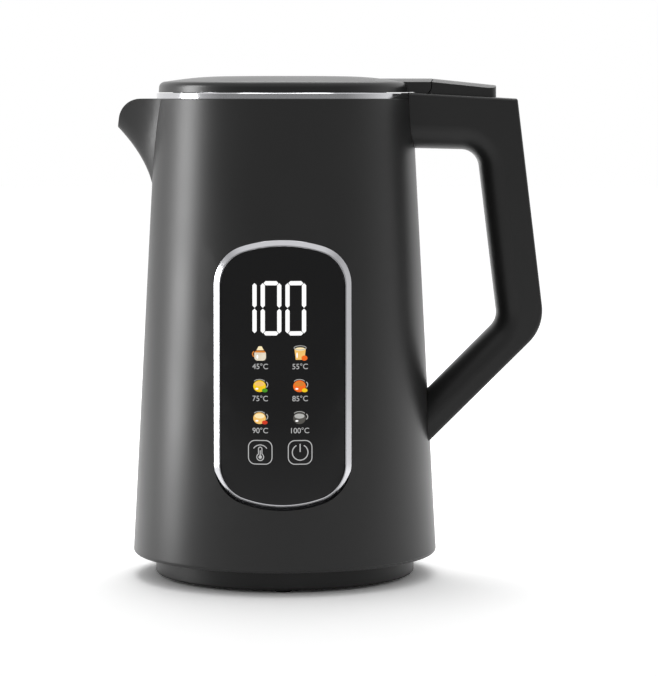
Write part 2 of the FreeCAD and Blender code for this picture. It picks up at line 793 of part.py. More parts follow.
def finger_edges(blank):
    """Long edges on the finger side of the handle."""
    found = []
    for edge in long_edges(blank):
        middle = edge_middle(edge)
        under_head = middle.z < RIM_Z - HEAD_DEPTH / 2
        inside_grip = middle.x < grip_x(middle.z) - GRIP_DEPTH / 2
        above_arm = middle.x < arm_x(middle.z, ARM_DEPTH / 2)
        if under_head and inside_grip and above_arm:
            found.append(edge)
    return found


def outer_edges(blank):
    """Long edges on the outer side of the handle, after the finger side is rounded."""
    near = 0.6
    found = []
    for edge in long_edges(blank):
        middle = edge_middle(edge)
        on_top = abs(middle.z - handle_top + head_fall * (middle.x - RIM_R + 2.0)) < near
        on_grip = abs(middle.x - grip_x(middle.z)) < near
        on_arm = abs(middle.x - arm_x(middle.z, 0)) < near
        on_knee = middle.x > knee_x - 12.0 and middle.x > grip_x(middle.z) - 6.0
        if on_top or on_grip or on_arm or on_knee:
            found.append(edge)
    return found


def edge_middle(edge):
    """Point halfway along an edge."""
    return edge.valueAt((edge.FirstParameter + edge.LastParameter) / 2)


def long_edges(blank):
    """Edges that run along the handle's sides, without those at its ends inside the body."""
    found = []
    for edge in blank.Edges:
        inside = edge.BoundBox.XMax < shell_r(knee_z) - 11.0
        if abs(edge_middle(edge).y) > 5 and edge.BoundBox.YLength < 6 and not inside:
            found.append(edge)
    return found


def handle_blank():
    """Whole outside of the handle, tapering downwards, with rounded edges."""
    low = knee_z - ARM_FALL
    high = handle_top + 8.0
    low_half = HANDLE_HALF_LOW - 0.2
    taper = along([(-low_half, low, 0), (low_half, low, 0), (HANDLE_HALF, high, 0), (-HANDLE_HALF, high, 0)], 0, FAR)
    blank = across(handle_corners(), 2 * HANDLE_HALF).common(taper)
    blank = blank.makeFillet(FINGER_ROUND, finger_edges(blank))
    return blank.makeFillet(OUTER_ROUND, outer_edges(blank))


def cover_strip(gap):
    """Inlay along the outer side of the grip and the lower arm, grown by a gap."""
    inset = HANDLE_COVER + gap
    high = RIM_Z - 12.0 + gap
    inner = knee(inset, inset)
    outer = knee(-20.0, -20.0)
    low_x = shell_r(knee_z) - 16.0
    return across([
        (grip_x(high) - inset, high, 0),
        (inner[0], inner[1], KNEE_R - inset),
        (low_x, low_x - arm_x(0, inset), 0),
        (low_x, low_x - arm_x(0, -20.0), 0),
        (outer[0], outer[1], 30.0),
        (grip_x(high) + 20.0, high, 0),
    ], HANDLE_HALF_LOW - COVER_EDGE + gap)


def grip_hollow():
    """Hollow inside the grip and the lower arm, open towards the cover strip."""
    wall = 3.2
    high = head_low - 6.0
    low_x = shell_r(knee_z) + 12.0
    inset = HANDLE_COVER
    inner = knee(GRIP_DEPTH - wall, ARM_DEPTH - wall)
    outer = knee(inset, inset)
    return across([
        (grip_x(high) - GRIP_DEPTH + wall, high, 2.0),
        (grip_x(high) - inset, high, 0),
        (outer[0], outer[1], KNEE_R - inset),
        (low_x, low_x - arm_x(0, inset), 0),
        (low_x, low_x - arm_x(0, ARM_DEPTH - wall), 2.0),
        (inner[0], inner[1], FINGER_R + wall),
    ], 7.6)


def handle_screw_heights():
    """Heights of the screws that hold the handle to the shell, from inside."""
    low = shell_r(knee_z) + 3.0 - arm_x(0, ARM_DEPTH / 2)
    return [head_low + 6.5, low - 2.0, low + 7.0]


def head_pocket():
    """Pocket in the handle's head for the hinge carrier and the button."""
    upper = box(RIM_R - 9.0, pocket_end, -pocket_half, pocket_half, deck_z - deck_wall, handle_top + 20.0)
    rounded = upper.makeFillet(4.4, [e for e in upper.Edges if e.BoundBox.ZLength > 9 and e.BoundBox.XMin > RIM_R])
    lower = box(hinge_x + 11.0, pocket_end - 3.0, -10.0, 10.0, head_low + 3.4, deck_z)
    return joined([rounded, lower])


def handle_frame():
    """Handle body with its grip hollow, head pocket and screw holes."""
    frame = handle_blank().cut(cone(0, SKIRT_Z, RIM_Z + 10.0)).cut(cover_strip(0.25))
    frame = frame.cut(rod(0, 0, RIM_Z, ring_top + 10.0, RIM_R + 0.05))
    frame = frame.cut(grip_hollow()).cut(head_pocket())
    for z in handle_screw_heights():
        frame = frame.cut(Part.makeCylinder(SCREW_R + RUN, 9.2, V(shell_r(z) - 4, 0, z), ALONG_X))
    for x, y in carrier_points():
        frame = frame.cut(rod(x, y, deck_z - deck_wall - 5.0, deck_z, SCREW_R + RUN))
    return frame


def handle_cover():
    """Inlaid strip that closes the grip's hollow, with a locating rib inside."""
    strip = handle_blank().common(cover_strip(0)).cut(cone(0))
    rib = grip_hollow().common(cover_strip(2.4)).common(box(0, FAR, -7.2, 7.2, 0, head_low - 8.0))
    rib = rib.common(box(shell_r(knee_z) + 16.0, FAR, -FAR, FAR, 0, FAR))
    return joined([strip, rib])


def handle_screws():
    """Screws through the shell into the handle."""
    one = screw(2.6, 1.5, 7.0).rotated(AXIS_POINT, ALONG_Y, 90)
    shapes = [one.translated(V(shell_r(z) - SHELL_WALL - 1.75, 0, z)) for z in handle_screw_heights()]
    return Part.makeCompound(shapes)


def carrier_points():
    """Places of the hinge carrier's screws."""
    return [(hinge_x + 7.0, -11.3), (hinge_x + 7.0, 11.3)]


def ear(x, z, low, y0, y1, radius):
    """Upright ear with a rounded head, from a low height to round a pin's centre."""
    return joined([box(x - radius, x + radius, y0, y1, low, z), cross_rod(x, z, y0, y1, radius)])


def hinge_carrier():
    """Moulded carrier in the handle's head, with ears for both pins and the button spring's cup."""
    half = pocket_half - 0.1
    plate = box(RIM_R - 9.0, pocket_end - 0.1, -half, half, deck_z - deck_wall, deck_z)
    plate = plate.makeFillet(4.4, [e for e in plate.Edges if e.BoundBox.ZLength > 2 and e.BoundBox.XMin > RIM_R])
    plate = plate.cut(cone(-0.25, SKIRT_Z, RIM_Z + 10.0))
    ears = [ear(hinge_x, hinge_z, deck_z - 1.0, y, y + 3.0, 1.75) for y in (-7.9, 4.9)]
    rests = [ear(rocker_x, rocker_z, deck_z - 1.0, y, y + 2.6, 2.0) for y in (-10.6, 8.0)]
    cup = rod(cup_x, 0, head_low + 3.6, deck_z - 0.5, cup_r + 1.4)
    carrier = joined([plate, cup] + ears + rests)
    carrier = carrier.cut(rod(cup_x, 0, head_low + 5.0, deck_z + 1.0, cup_r))
    carrier = carrier.cut(cross_rod(hinge_x, hinge_z, -20, 20, HINGE_PIN_R))
    carrier = carrier.cut(cross_rod(rocker_x, rocker_z, -20, 20, HINGE_PIN_R))
    for x, y in carrier_points():
        carrier = carrier.cut(rod(x, y, deck_z - 4.0, deck_z, SCREW_R + 0.1))
    return carrier


def carrier_screws():
    """Screws that hold the hinge carrier in the handle's head."""
    one = screw(1.9, 1.2, 6.5).rotated(AXIS_POINT, ALONG_X, 180)
    return Part.makeCompound([one.translated(V(x, y, deck_z + 1.2)) for x, y in carrier_points()])


def hinge_pin():
    """Steel pin that the lid turns on."""
    return cross_rod(hinge_x, hinge_z, -12.4, 12.4, HINGE_PIN_R)


def rocker_pin():
    """Steel pin that the thumb button rocks on."""
    return cross_rod(rocker_x, rocker_z, -12.4, 12.4, HINGE_PIN_R)


def coil(radius, wire, pitch, height):
    """Open coil that stands on height 0 about the swivel axis."""
    path = Part.makeLongHelix(pitch, height, radius)
    ring = Part.Wire(Part.makeCircle(wire, V(radius, 0, 0), ALONG_Y))
    return Part.Wire(path).makePipeShell([ring], True, True)


def lid_springs():
    """Two coiled springs round the hinge pin, with a leg under the lid and a leg on the carrier."""
    radius = 1.45
    wire = 0.25
    length = 2.1
    shapes = []
    turned = coil(radius, wire, 0.7, length).rotated(AXIS_POINT, ALONG_X, -90)
    for y in (8.3, -8.3 - length):
        middle = V(hinge_x, y, hinge_z)
        leg = Part.makeCylinder(wire, 4.6, middle + V(radius, 0, 0), V(0, 0, -1))
        shapes.append(turned.translated(middle).fuse(leg))
    return Part.makeCompound(shapes)


def button_spring():
    """Coiled spring that lifts the rear of the thumb button."""
    low = head_low + 5.0
    high = button_top(cup_x) - BUTTON_WALL - 2.2
    wire = 0.45
    body = coil(3.8, wire, (high - low - 2 * wire) / 7.0, high - low - 2 * wire)
    return body.translated(V(cup_x, 0, low + wire))


def dome_edges(drop, inset):
    """Curve of the lid's dome from its rim to its crown, moved down and inwards."""
    shares = [(1, 0), (0.9, 0.27), (0.8, 0.53), (0.66, 0.8), (0.43, 0.95), (0, 1)]
    rim = lid_r - 0.3 - inset
    points = [V(rim * r, 0, crease_z + LID_CROWN * h - drop) for r, h in shares]
    curve = Part.BSplineCurve()
    curve.interpolate(points)
    return curve.toShape(), points[0], points[-1]


def lid_solid(drop, inset, low):
    """Domed disc from a low height up to the lid's dome, moved down and inwards."""
    dome, rim, crown = dome_edges(drop, inset)
    foot = V(lid_r - inset, 0, low)
    edges = [
        Part.makeLine(V(0, 0, low), foot),
        Part.makeLine(foot, rim),
        dome,
        Part.makeLine(crown, V(0, 0, low)),
    ]
    return Part.Face(Part.Wire(edges)).revolve(AXIS_POINT, UP, 360)


def barrel(grow):
    """Round-backed roll about the hinge, fuller in the middle than at its sides."""
    half = TAIL_HALF + grow
    steps = 8
    ys = [half * (2.0 * i / steps - 1) for i in range(steps + 1)]
    bend = [BARREL_R + grow - TAIL_CROWN * (y / TAIL_HALF) ** 2 for y in ys]
    curve = Part.BSplineCurve()
    curve.interpolate([V(hinge_x + r, y, hinge_z) for y, r in zip(ys, bend)])
    ends = [V(hinge_x, -half, hinge_z), V(hinge_x, half, hinge_z)]
    edges = [
        Part.makeLine(ends[0], V(hinge_x + bend[0], -half, hinge_z)),
        curve.toShape(),
        Part.makeLine(V(hinge_x + bend[-1], half, hinge_z), ends[1]),
        Part.makeLine(ends[1], ends[0]),
    ]
    return Part.Face(Part.Wire(edges)).revolve(V(hinge_x, 0, hinge_z), ALONG_Y, 360)


def crowned(x0, x1, half, top, low):
    """Bar from x0 to x1 whose top is crowned across its width."""
    edge = top - TAIL_CROWN * (half / TAIL_HALF) ** 2
    arc = Part.Arc(V(x0, -half, edge), V(x0, 0, top), V(x0, half, edge)).toShape()
    corners = [V(x0, half, edge), V(x0, half, low), V(x0, -half, low), V(x0, -half, edge)]
    lines = [Part.makeLine(a, b) for a, b in zip(corners, corners[1:])]
    return Part.Face(Part.Wire([arc] + lines)).extrude(ALONG_X * (x1 - x0))


def lid_boss_points():
    """Places of the screws that hold the lid's inner pan."""
    return around(3, pot_top_r - 2.4, 60.0)


def lid_cover():
    """Domed lid cover with its tail, knuckles and screw posts."""
    dome = lid_solid(0, 0, lid_z)
    dome = dome.makeFillet(LID_ROUND, [e for e in dome.Edges if abs(e.BoundBox.Center.z - crease_z) < 0.1])
    tail_end = hinge_x + BARREL_R + 2.0
    neck = crowned(RIM_R * 0.62, tail_end, TAIL_HALF, tail_top, tail_low)
    heel = crowned(RIM_R + 0.9, tail_end, TAIL_HALF, tail_top, heel_low)
    tail = joined([neck, heel])
    front = tail.common(box(0, hinge_x, -FAR, FAR, 0, FAR))
    rear = tail.common(barrel(0)).common(box(hinge_x - 0.5, FAR, -FAR, FAR, 0, FAR))
    cover = joined([dome, front, rear])
    hollow = lid_solid(LID_WALL, LID_WALL, lid_z - 1.0)
    posts = [rod(x, y, lid_z + 0.8, crown_z, 3.4) for x, y in lid_boss_points()]
    posts = [p.common(lid_solid(1.0, 1.0, lid_z)) for p in posts]
    cover = joined([cover.cut(hollow)] + posts)
    for y0, y1 in ((-11.0, -4.6), (4.6, 11.0)):
        cover = cover.cut(box(hinge_x - 3.0, hinge_x + 12.0, y0, y1, lid_z - 3.0, hinge_z + 2.0))
    cover = cover.cut(cross_rod(hinge_x, hinge_z, -12.5, 12.5, HINGE_PIN_R + RUN))
    clip = clip_height()
    cover = cover.cut(box(hinge_x + 5.0, hinge_x + 12.0, -3.2, 3.2, clip - 0.9, clip + 0.9))
    for x, y in lid_boss_points():
        cover = cover.cut(rod(x, y, lid_z, lid_z + 3.6, SCREW_R + RUN))
    return cover


def lid_pan():
    """Pressed inner pan of the lid, with its screw flange."""
    wall = 0.8
    low = lid_z - 10.5
    bowl = pot_top_r - 5.0
    pan = spun([
        (0, low, 0),
        (bowl, low, 3.0),
        (bowl, lid_z, 0),
        (lid_r - LID_WALL - 1.0, lid_z, 0),
        (lid_r - LID_WALL - 1.0, lid_z + wall, 0),
        (bowl - wall, lid_z + wall, 0),
        (bowl - wall, low + wall, 2.2),
        (0, low + wall, 0),
    ])
    for x, y in lid_boss_points():
        pan = pan.cut(rod(x, y, lid_z - 1, lid_z + 2, SCREW_R + 0.1))
    return pan


def lid_gasket():
    """Silicone ring round the lid's pan, with a thin wiping lip."""
    bowl = pot_top_r - 5.0
    middle = lid_z - 6.0
    return spun([
        (bowl, middle - 1.6, 0),
        (bowl + 2.2, middle - 1.6, 0.6),
        (pot_top_r - 0.4, middle + 0.2, 0.3),
        (pot_top_r - 0.4, middle + 0.9, 0.3),
        (bowl + 2.2, middle + 1.6, 0.4),
        (bowl, middle + 1.6, 0),
    ])


def lid_screws():
    """Screws that hold the pan to the lid cover."""
    one = screw(1.9, 1.2, 3.4)
    return Part.makeCompound([one.translated(V(x, y, lid_z - 1.2)) for x, y in lid_boss_points()])


def button_top(x):
    """Height of the thumb button's crown at a place along it."""
    return tail_top - 0.2 - BUTTON_FALL * (x - button_x) / BUTTON_LENGTH


def button_form(inset, drop):
    """Crowned and rear-rounded form of the thumb button, moved inwards and down."""
    half = TAIL_HALF - inset
    start = hinge_x - 4.0
    fall = math.degrees(math.atan2(BUTTON_FALL, BUTTON_LENGTH))
    bar = crowned(start, start + 60.0, half, tail_top - 0.2 - drop, deck_z - 20.0)
    bar = bar.rotated(V(button_x, 0, tail_top - 0.2), ALONG_Y, fall)
    end = button_end - inset
    plan = [(start, -half, 0), (end, -half, 5.0 - inset * 0.8), (end, half, 5.0 - inset * 0.8), (start, half, 0)]
    face = Part.Face(outline(plan, lambda u, v: V(u, v, deck_z + 3.4)))
    return bar.common(face.extrude(UP * 30))


def release_button():
    """Thumb button that rocks on its front pin and carries the catch clip."""
    swell = barrel(GAP).cut(box(0, hinge_x, -FAR, FAR, 0, FAR))
    body = button_form(0, 0).cut(swell).cut(box(0, hinge_x, -FAR, FAR, 0, FAR))
    body = body.cut(box(0, button_x - 1.5, -FAR, FAR, 0, tail_low - 0.4))
    hollow = button_form(BUTTON_WALL, BUTTON_WALL)
    swell_in = barrel(GAP + BUTTON_WALL).common(box(hinge_x, FAR, -FAR, FAR, 0, FAR))
    hollow = hollow.cut(swell_in).cut(box(0, button_x + 1.2, -FAR, FAR, 0, FAR))
    body = body.cut(hollow)
    stub = rod(cup_x, 0, button_top(cup_x) - BUTTON_WALL - 2.2, button_top(cup_x) - 1.0, 2.8)
    body = joined([body, stub])
    clip = clip_height()
    body = body.cut(box(button_x - 3.0, button_x + 2.4, -3.1, 3.1, clip - 0.35, clip + 0.35))
    return body.cut(cross_rod(rocker_x, rocker_z, -12.5, 12.5, HINGE_PIN_R + RUN))


def clip_height():
    """Height of the catch clip's nose."""
    return hinge_z - 1.3


def catch_clip():
    """Spring-steel clip on the button whose nose holds the lid's middle knuckle."""
    clip = clip_height()
    wall = 0.6
    end = button_x + 2.4
    blade = box(hinge_x + BARREL_R - 1.3, end, -2.8, 2.8, clip - wall / 2, clip + wall / 2)
    tab = box(end - 0.1, end + wall, -2.8, 2.8, clip - wall / 2, clip + 1.6)
    return joined([blade, tab])


def save(name, shape):
    """Writes one node in the part's frame, whose origin is under the middle of the whole object."""
    arc_x = knee(KNEE_R * math.sqrt(1 + GRIP_LEAN ** 2), KNEE_R)[0]
    middle = (arc_x + KNEE_R - SPOUT_REACH) / 2
    placed = shape.translated(V(-middle, 0, 0))
    placed.exportStep("parts/" + name + ".step")
    print(name, len(shape.Solids), round(shape.Volume), shape.isValid())


NODES = {
    "base_cover": base_cover,
    "base_floor": base_floor,
    "base_feet": base_feet,
    "base_screws": base_screws,
    "base_connector": base_connector,
    "base_contacts": base_contacts,
    "cord_bushing": cord_bushing,
    "round_socket": round_socket,
    "socket_pins": socket_pins,
    "outer_shell": outer_shell,
    "inner_pot": inner_pot,
    "rim_ring": rim_ring,
    "rim_seal": rim_seal,
    "spout_seal": spout_seal,
    "spout_strainer": spout_strainer,
    "heating_plate": heating_plate,
    "heating_element": heating_element,
    "element_leads": element_leads,
    "thermal_cutouts": thermal_cutouts,
    "temperature_probe": temperature_probe,
    "bottom_cover": bottom_cover,
    "bottom_screws": bottom_screws,
    "power_board": power_board,
    "power_board_screws": power_board_screws,
    "heater_relay": heater_relay,
    "ribbon_cable": ribbon_cable,
    "panel_bezel": panel_bezel,
    "panel_window": panel_window,
    "display_board": display_board,
    "board_screws": board_screws,
    "digit_module": digit_module,
    "icon_module": icon_module,
    "handle_frame": handle_frame,
    "handle_cover": handle_cover,
    "handle_screws": handle_screws,
    "hinge_carrier": hinge_carrier,
    "carrier_screws": carrier_screws,
    "hinge_pin": hinge_pin,
    "rocker_pin": rocker_pin,
    "lid_springs": lid_springs,
    "button_spring": button_spring,
    "lid_cover": lid_cover,
    "lid_pan": lid_pan,
    "lid_gasket": lid_gasket,
    "lid_screws": lid_screws,
    "release_button": release_button,
    "catch_clip": catch_clip,
}

for node, build in NODES.items():
    save(node, build())
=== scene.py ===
"""Studio scene of a cordless jug kettle that stands on its round power base."""

import logging
import math
from abc import ABC, abstractmethod
from dataclasses import dataclass, field
from enum import Enum, IntEnum
from functools import cache

import bmesh
import bpy
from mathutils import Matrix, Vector


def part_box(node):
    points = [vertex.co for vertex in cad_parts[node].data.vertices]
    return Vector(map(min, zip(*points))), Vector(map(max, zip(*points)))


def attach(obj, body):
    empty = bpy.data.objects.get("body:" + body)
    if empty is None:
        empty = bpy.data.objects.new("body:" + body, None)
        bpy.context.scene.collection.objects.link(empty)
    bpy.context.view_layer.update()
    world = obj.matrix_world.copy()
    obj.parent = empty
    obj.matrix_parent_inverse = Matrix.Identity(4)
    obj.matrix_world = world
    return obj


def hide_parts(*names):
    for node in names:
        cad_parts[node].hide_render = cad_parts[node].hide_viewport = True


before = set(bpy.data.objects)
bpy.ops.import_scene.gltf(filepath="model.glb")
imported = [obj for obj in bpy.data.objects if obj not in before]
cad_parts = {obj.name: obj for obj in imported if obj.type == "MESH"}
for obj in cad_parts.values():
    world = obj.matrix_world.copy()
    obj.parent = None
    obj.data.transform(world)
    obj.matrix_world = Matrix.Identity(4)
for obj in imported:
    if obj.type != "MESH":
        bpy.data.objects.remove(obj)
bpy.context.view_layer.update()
log = logging.getLogger("kettle")

MM = 0.001
PICTURE_WIDTH = 658
PICTURE_HEIGHT = 676
# strength of a light that shows as full white
WHITE = 1.0
# octaves of the noise in a grain and in a slow drift over a piece
GRAIN_DETAIL = 3.0
DRIFT_DETAIL = 2.0
# most values of a noise lie between these two
NOISE_LOW = 0.3
NOISE_HIGH = 0.7
Point = tuple[float, float]
Faces = list[tuple[int, ...]]


def linear(colour: str) -> tuple[float, float, float, float]:
    """Turns an sRGB hex colour into linear light.

    Args:
        colour: Six hex digits after a hash sign.
    Returns:
        Linear red, green and blue, and full opacity.
    """
    shares = [int(colour[i:i + 2], 16) / 255 for i in (1, 3, 5)]
    red, green, blue = [s / 12.92 if s <= 0.04045 else ((s + 0.055) / 1.055) ** 2.4 for s in shares]
    return red, green, blue, 1.0


def add_node(
    tree: bpy.types.NodeTree, kind: str, settings: dict | None = None, links: dict | None = None
) -> bpy.types.Node:
    """Adds one node with its settings and its incoming links.

    Args:
        tree: Node tree that takes the node.
        kind: Blender's name for the node's type.
        settings: Values by input name, input number or property name.
        links: Output sockets by input name or number.
    Returns:
        The new node.
    """
    node = tree.nodes.new(kind)
    for name, value in (settings or {}).items():
        if isinstance(name, int) or name in node.inputs:
            node.inputs[name].default_value = value
        else:
            setattr(node, name, value)
    for name, source in (links or {}).items():
        tree.links.new(source, node.inputs[name])
    return node


@cache
def corners(node: str) -> tuple[Vector, Vector]:
    """Lowest and highest corner of a node, in millimetres."""
    low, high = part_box(node)
    return low / MM, high / MM


def axis_x() -> float:
    """Place of the swivel axis along the frame's X."""
    low, high = corners("base_connector")
    return (low.x + high.x) / 2 * MM


class Making(Enum):
    """How a surface was made, which sets the pattern that the eye can find on it."""

    MOULDED = "speckle of an etched mould"
    TURNED = "rings of a lathe or a polishing wheel"


@dataclass(frozen=True)
class Finish:
    """A real material with the way that its surface was made."""

    name: str
    colour: str
    drift_colour: str
    roughness: float
    rough_drift: float
    grain_mm: float
    depth_mm: float
    drift_mm: float
    making: Making = Making.MOULDED
    metallic: float = 0.0
    ior: float = 1.5
    specular: float = 0.5
    glow: float = 0.0
    unlit_colour: str = "#101010"

    def material(self) -> bpy.types.Material:
        """Makes the finish's shader once.

        Returns:
            The material, shared by every piece with this finish.
        """
        found = bpy.data.materials.get(self.name)
        if found:
            return found
        material = bpy.data.materials.new(self.name)
        material.use_nodes = True
        tree = material.node_tree
        tree.nodes.clear()
        place = self.pattern_place(tree)
        noises = []
        for size, detail in ((self.grain_mm, GRAIN_DETAIL), (self.drift_mm, DRIFT_DETAIL)):
            settings = {"Scale": 1 / (size * MM), "Detail": detail}
            noises.append(add_node(tree, "ShaderNodeTexNoise", settings, {"Vector": place}))
        grain, drift = noises
        colour = add_node(
            tree,
            "ShaderNodeMixRGB",
            {"Color1": linear(self.colour), "Color2": linear(self.drift_colour)},
            {"Fac": drift.outputs["Fac"]},
        )
        rough = add_node(
            tree,
            "ShaderNodeMapRange",
            {
                "From Min": NOISE_LOW,
                "From Max": NOISE_HIGH,
                "To Min": self.roughness - self.rough_drift,
                "To Max": self.roughness + self.rough_drift,
            },
            {"Value": drift.outputs["Fac"]},
        )
        bump = add_node(
            tree,
            "ShaderNodeBump",
            {"Strength": 1.0, "Distance": self.depth_mm * MM},
            {"Height": grain.outputs["Fac"]},
        )
        shader = add_node(
            tree,
            "ShaderNodeBsdfPrincipled",
            {
                "Base Color": linear(self.unlit_colour),
                "Metallic": self.metallic,
                "IOR": self.ior,
                "Specular IOR Level": self.specular,
                "Emission Strength": self.glow,
            },
            {
                "Emission Color" if self.glow else "Base Color": colour.outputs["Color"],
                "Roughness": rough.outputs["Result"],
                "Normal": bump.outputs["Normal"],
            },
        )
        add_node(tree, "ShaderNodeOutputMaterial", links={"Surface": shader.outputs["BSDF"]})
        return material

    def pattern_place(self, tree: bpy.types.NodeTree) -> bpy.types.NodeSocket:
        """Gives the coordinates that the finish's pattern is drawn in.

        Args:
            tree: Node tree of the material.
        Returns:
            Socket with a point in metres, or with radius and height on a turned surface.
        """
        point = add_node(tree, "ShaderNodeTexCoord").outputs["Object"]
        if self.making is Making.MOULDED:
            return point
        centred = add_node(
            tree, "ShaderNodeVectorMath", {"operation": "SUBTRACT", 1: (axis_x(), 0.0, 0.0)}, {0: point}
        )
        flat = add_node(
            tree,
            "ShaderNodeVectorMath",
            {"operation": "MULTIPLY", 1: (1.0, 1.0, 0.0)},
            {0: centred.outputs["Vector"]},
        )
        radius = add_node(
            tree, "ShaderNodeVectorMath", {"operation": "LENGTH"}, {0: flat.outputs["Vector"]}
        )
        split = add_node(tree, "ShaderNodeSeparateXYZ", links={0: point})
        joined = add_node(
            tree, "ShaderNodeCombineXYZ", links={"X": radius.outputs["Value"], "Z": split.outputs["Z"]}
        )
        return joined.outputs["Vector"]


# The real speckle, rings and brush lines are too fine to show in the picture. They are drawn coarser here,
# at 0.4 mm or more.

# ABS, moulded against an etched tool: a deep black with a soft satin sheen
SHELL_ABS = Finish(
    "abs_satin_moulded", "#232323", "#262626", roughness=0.36, rough_drift=0.03,
    grain_mm=0.6, depth_mm=0.004, drift_mm=60.0, specular=0.4,
)
# the same ABS on the lid, with a slightly smoother skin that mirrors pale surroundings at a low angle
LID_ABS = Finish(
    "abs_satin_moulded_lid", "#1e1e1e", "#212121", roughness=0.32, rough_drift=0.03,
    grain_mm=0.6, depth_mm=0.004, drift_mm=50.0, specular=0.42,
)
# glass-filled nylon of the handle: dark, a little duller than the shell
GRIP_NYLON = Finish(
    "nylon_satin_moulded", "#1c1c1c", "#202020", roughness=0.38, rough_drift=0.04,
    grain_mm=0.7, depth_mm=0.006, drift_mm=40.0, specular=0.4,
)
# polypropylene of the power base: matt black
BASE_PP = Finish(
    "polypropylene_matt_moulded", "#151515", "#191919", roughness=0.42, rough_drift=0.05,
    grain_mm=0.7, depth_mm=0.008, drift_mm=45.0, specular=0.32,
)
# stainless steel, turned and polished: a bright mirror with faint rings
BRIGHT_STEEL = Finish(
    "stainless_polished", "#d2d2d4", "#c4c4c8", roughness=0.12, rough_drift=0.03,
    grain_mm=0.5, depth_mm=0.0006, drift_mm=30.0, making=Making.TURNED, metallic=1.0,
)
# chromed ABS: a mirror with the slight waviness of a moulded part
CHROMED_ABS = Finish(
    "abs_chrome_plated", "#d6d6d9", "#cacace", roughness=0.1, rough_drift=0.02,
    grain_mm=9.0, depth_mm=0.004, drift_mm=30.0, metallic=1.0,
)
# acrylic, cast clear and printed black behind: a deep gloss
BLACK_ACRYLIC = Finish(
    "acrylic_cast_black", "#121213", "#141415", roughness=0.1, rough_drift=0.02,
    grain_mm=18.0, depth_mm=0.002, drift_mm=60.0, ior=1.49, specular=0.4,
)
# stainless steel, deep drawn and brushed round: fine rings that break up the light
DRAWN_STEEL = Finish(
    "stainless_drawn_brushed", "#c9c9ca", "#bcbcbe", roughness=0.3, rough_drift=0.06,
    grain_mm=0.45, depth_mm=0.004, drift_mm=18.0, making=Making.TURNED, metallic=1.0,
)
# natural rubber, moulded: dull black
FOOT_RUBBER = Finish(
    "rubber_moulded", "#161616", "#1c1c1c", roughness=0.7, rough_drift=0.08,
    grain_mm=0.5, depth_mm=0.015, drift_mm=12.0, specular=0.3,
)
# silicone, moulded: pale grey with a soft bloom
SILICONE = Finish(
    "silicone_moulded", "#8d8d8d", "#979797", roughness=0.55, rough_drift=0.06,
    grain_mm=0.8, depth_mm=0.01, drift_mm=15.0, ior=1.41,
)
# brass, turned: warm and bright
BRASS = Finish(
    "brass_turned", "#c49a4a", "#b58a3e", roughness=0.26, rough_drift=0.05,
    grain_mm=0.4, depth_mm=0.003, drift_mm=8.0, making=Making.TURNED, metallic=1.0,
)
# glass-filled nylon of the electrical fittings: matt and grainy
FITTING_NYLON = Finish(
    "nylon_matt_moulded", "#1a1a1a", "#202020", roughness=0.55, rough_drift=0.06,
    grain_mm=0.6, depth_mm=0.01, drift_mm=15.0,
)
# zinc-plated steel: grey with a faint blue cast
ZINC_STEEL = Finish(
    "steel_zinc_plated", "#a3a6ab", "#8f9298", roughness=0.34, rough_drift=0.08,
    grain_mm=0.5, depth_mm=0.004, drift_mm=4.0, metallic=1.0,
)
# spring steel wire, drawn: dark and bright
SPRING_WIRE = Finish(
    "spring_steel_drawn", "#8a8a8e", "#7b7b80", roughness=0.3, rough_drift=0.06,
    grain_mm=0.4, depth_mm=0.003, drift_mm=3.0, metallic=1.0,
)
# aluminium, die cast: pale grey and grainy
CAST_ALUMINIUM = Finish(
    "aluminium_cast", "#b0b0b2", "#9d9da0", roughness=0.48, rough_drift=0.08,
    grain_mm=1.2, depth_mm=0.03, drift_mm=14.0, metallic=1.0,
)
# steel tube of the element, annealed: dull with a brown cast
SHEATH_STEEL = Finish(
    "steel_annealed", "#6f6a64", "#5d5853", roughness=0.46, rough_drift=0.08,
    grain_mm=0.8, depth_mm=0.006, drift_mm=9.0, metallic=1.0,
)
# steatite ceramic, pressed: chalky white
STEATITE = Finish(
    "steatite_pressed", "#d8d5cc", "#c9c5ba", roughness=0.62, rough_drift=0.07,
    grain_mm=0.9, depth_mm=0.015, drift_mm=7.0,
)
# glass-epoxy board under solder mask: green with copper showing through
SOLDER_MASK = Finish(
    "glass_epoxy_masked", "#1d5c33", "#174a29", roughness=0.38, rough_drift=0.08,
    grain_mm=1.6, depth_mm=0.01, drift_mm=6.0,
)
# polyester of the relay's case, moulded: blue
RELAY_CASE = Finish(
    "polyester_moulded", "#23406e", "#1e3862", roughness=0.33, rough_drift=0.05,
    grain_mm=0.6, depth_mm=0.006, drift_mm=9.0,
)
# vinyl wire covering, extruded: pale grey
WIRE_VINYL = Finish(
    "vinyl_extruded", "#b9b8b2", "#adaca5", roughness=0.42, rough_drift=0.05,
    grain_mm=0.9, depth_mm=0.006, drift_mm=9.0,
)


def lit_ink(name: str, colour: str, edge_colour: str, glow: float = 0.95) -> Finish:
    """Makes a finish of clear ink, printed on polycarbonate and lit from behind.

    Args:
        name: Plain name of the ink's colour.
        colour: sRGB hex of the light where it is fullest.
        edge_colour: sRGB hex of the light between the lamps behind.
        glow: Strength of the light.
    Returns:
        The finish, which shines in its own colour under a clear gloss.
    """
    return Finish(
        "polycarbonate_lit_" + name, colour, edge_colour, roughness=0.12, rough_drift=0.02,
        grain_mm=6.0, depth_mm=0.0005, drift_mm=3.0, glow=glow,
    )


# white light of the digits: flat and full
WHITE_LIGHT = lit_ink("white", "#ffffff", "#fbfbfb", 1.05)
# thin printed lines: a softer grey than the white of the digits
LINE_LIGHT = lit_ink("line", "#c4c4c4", "#b6b6b6")
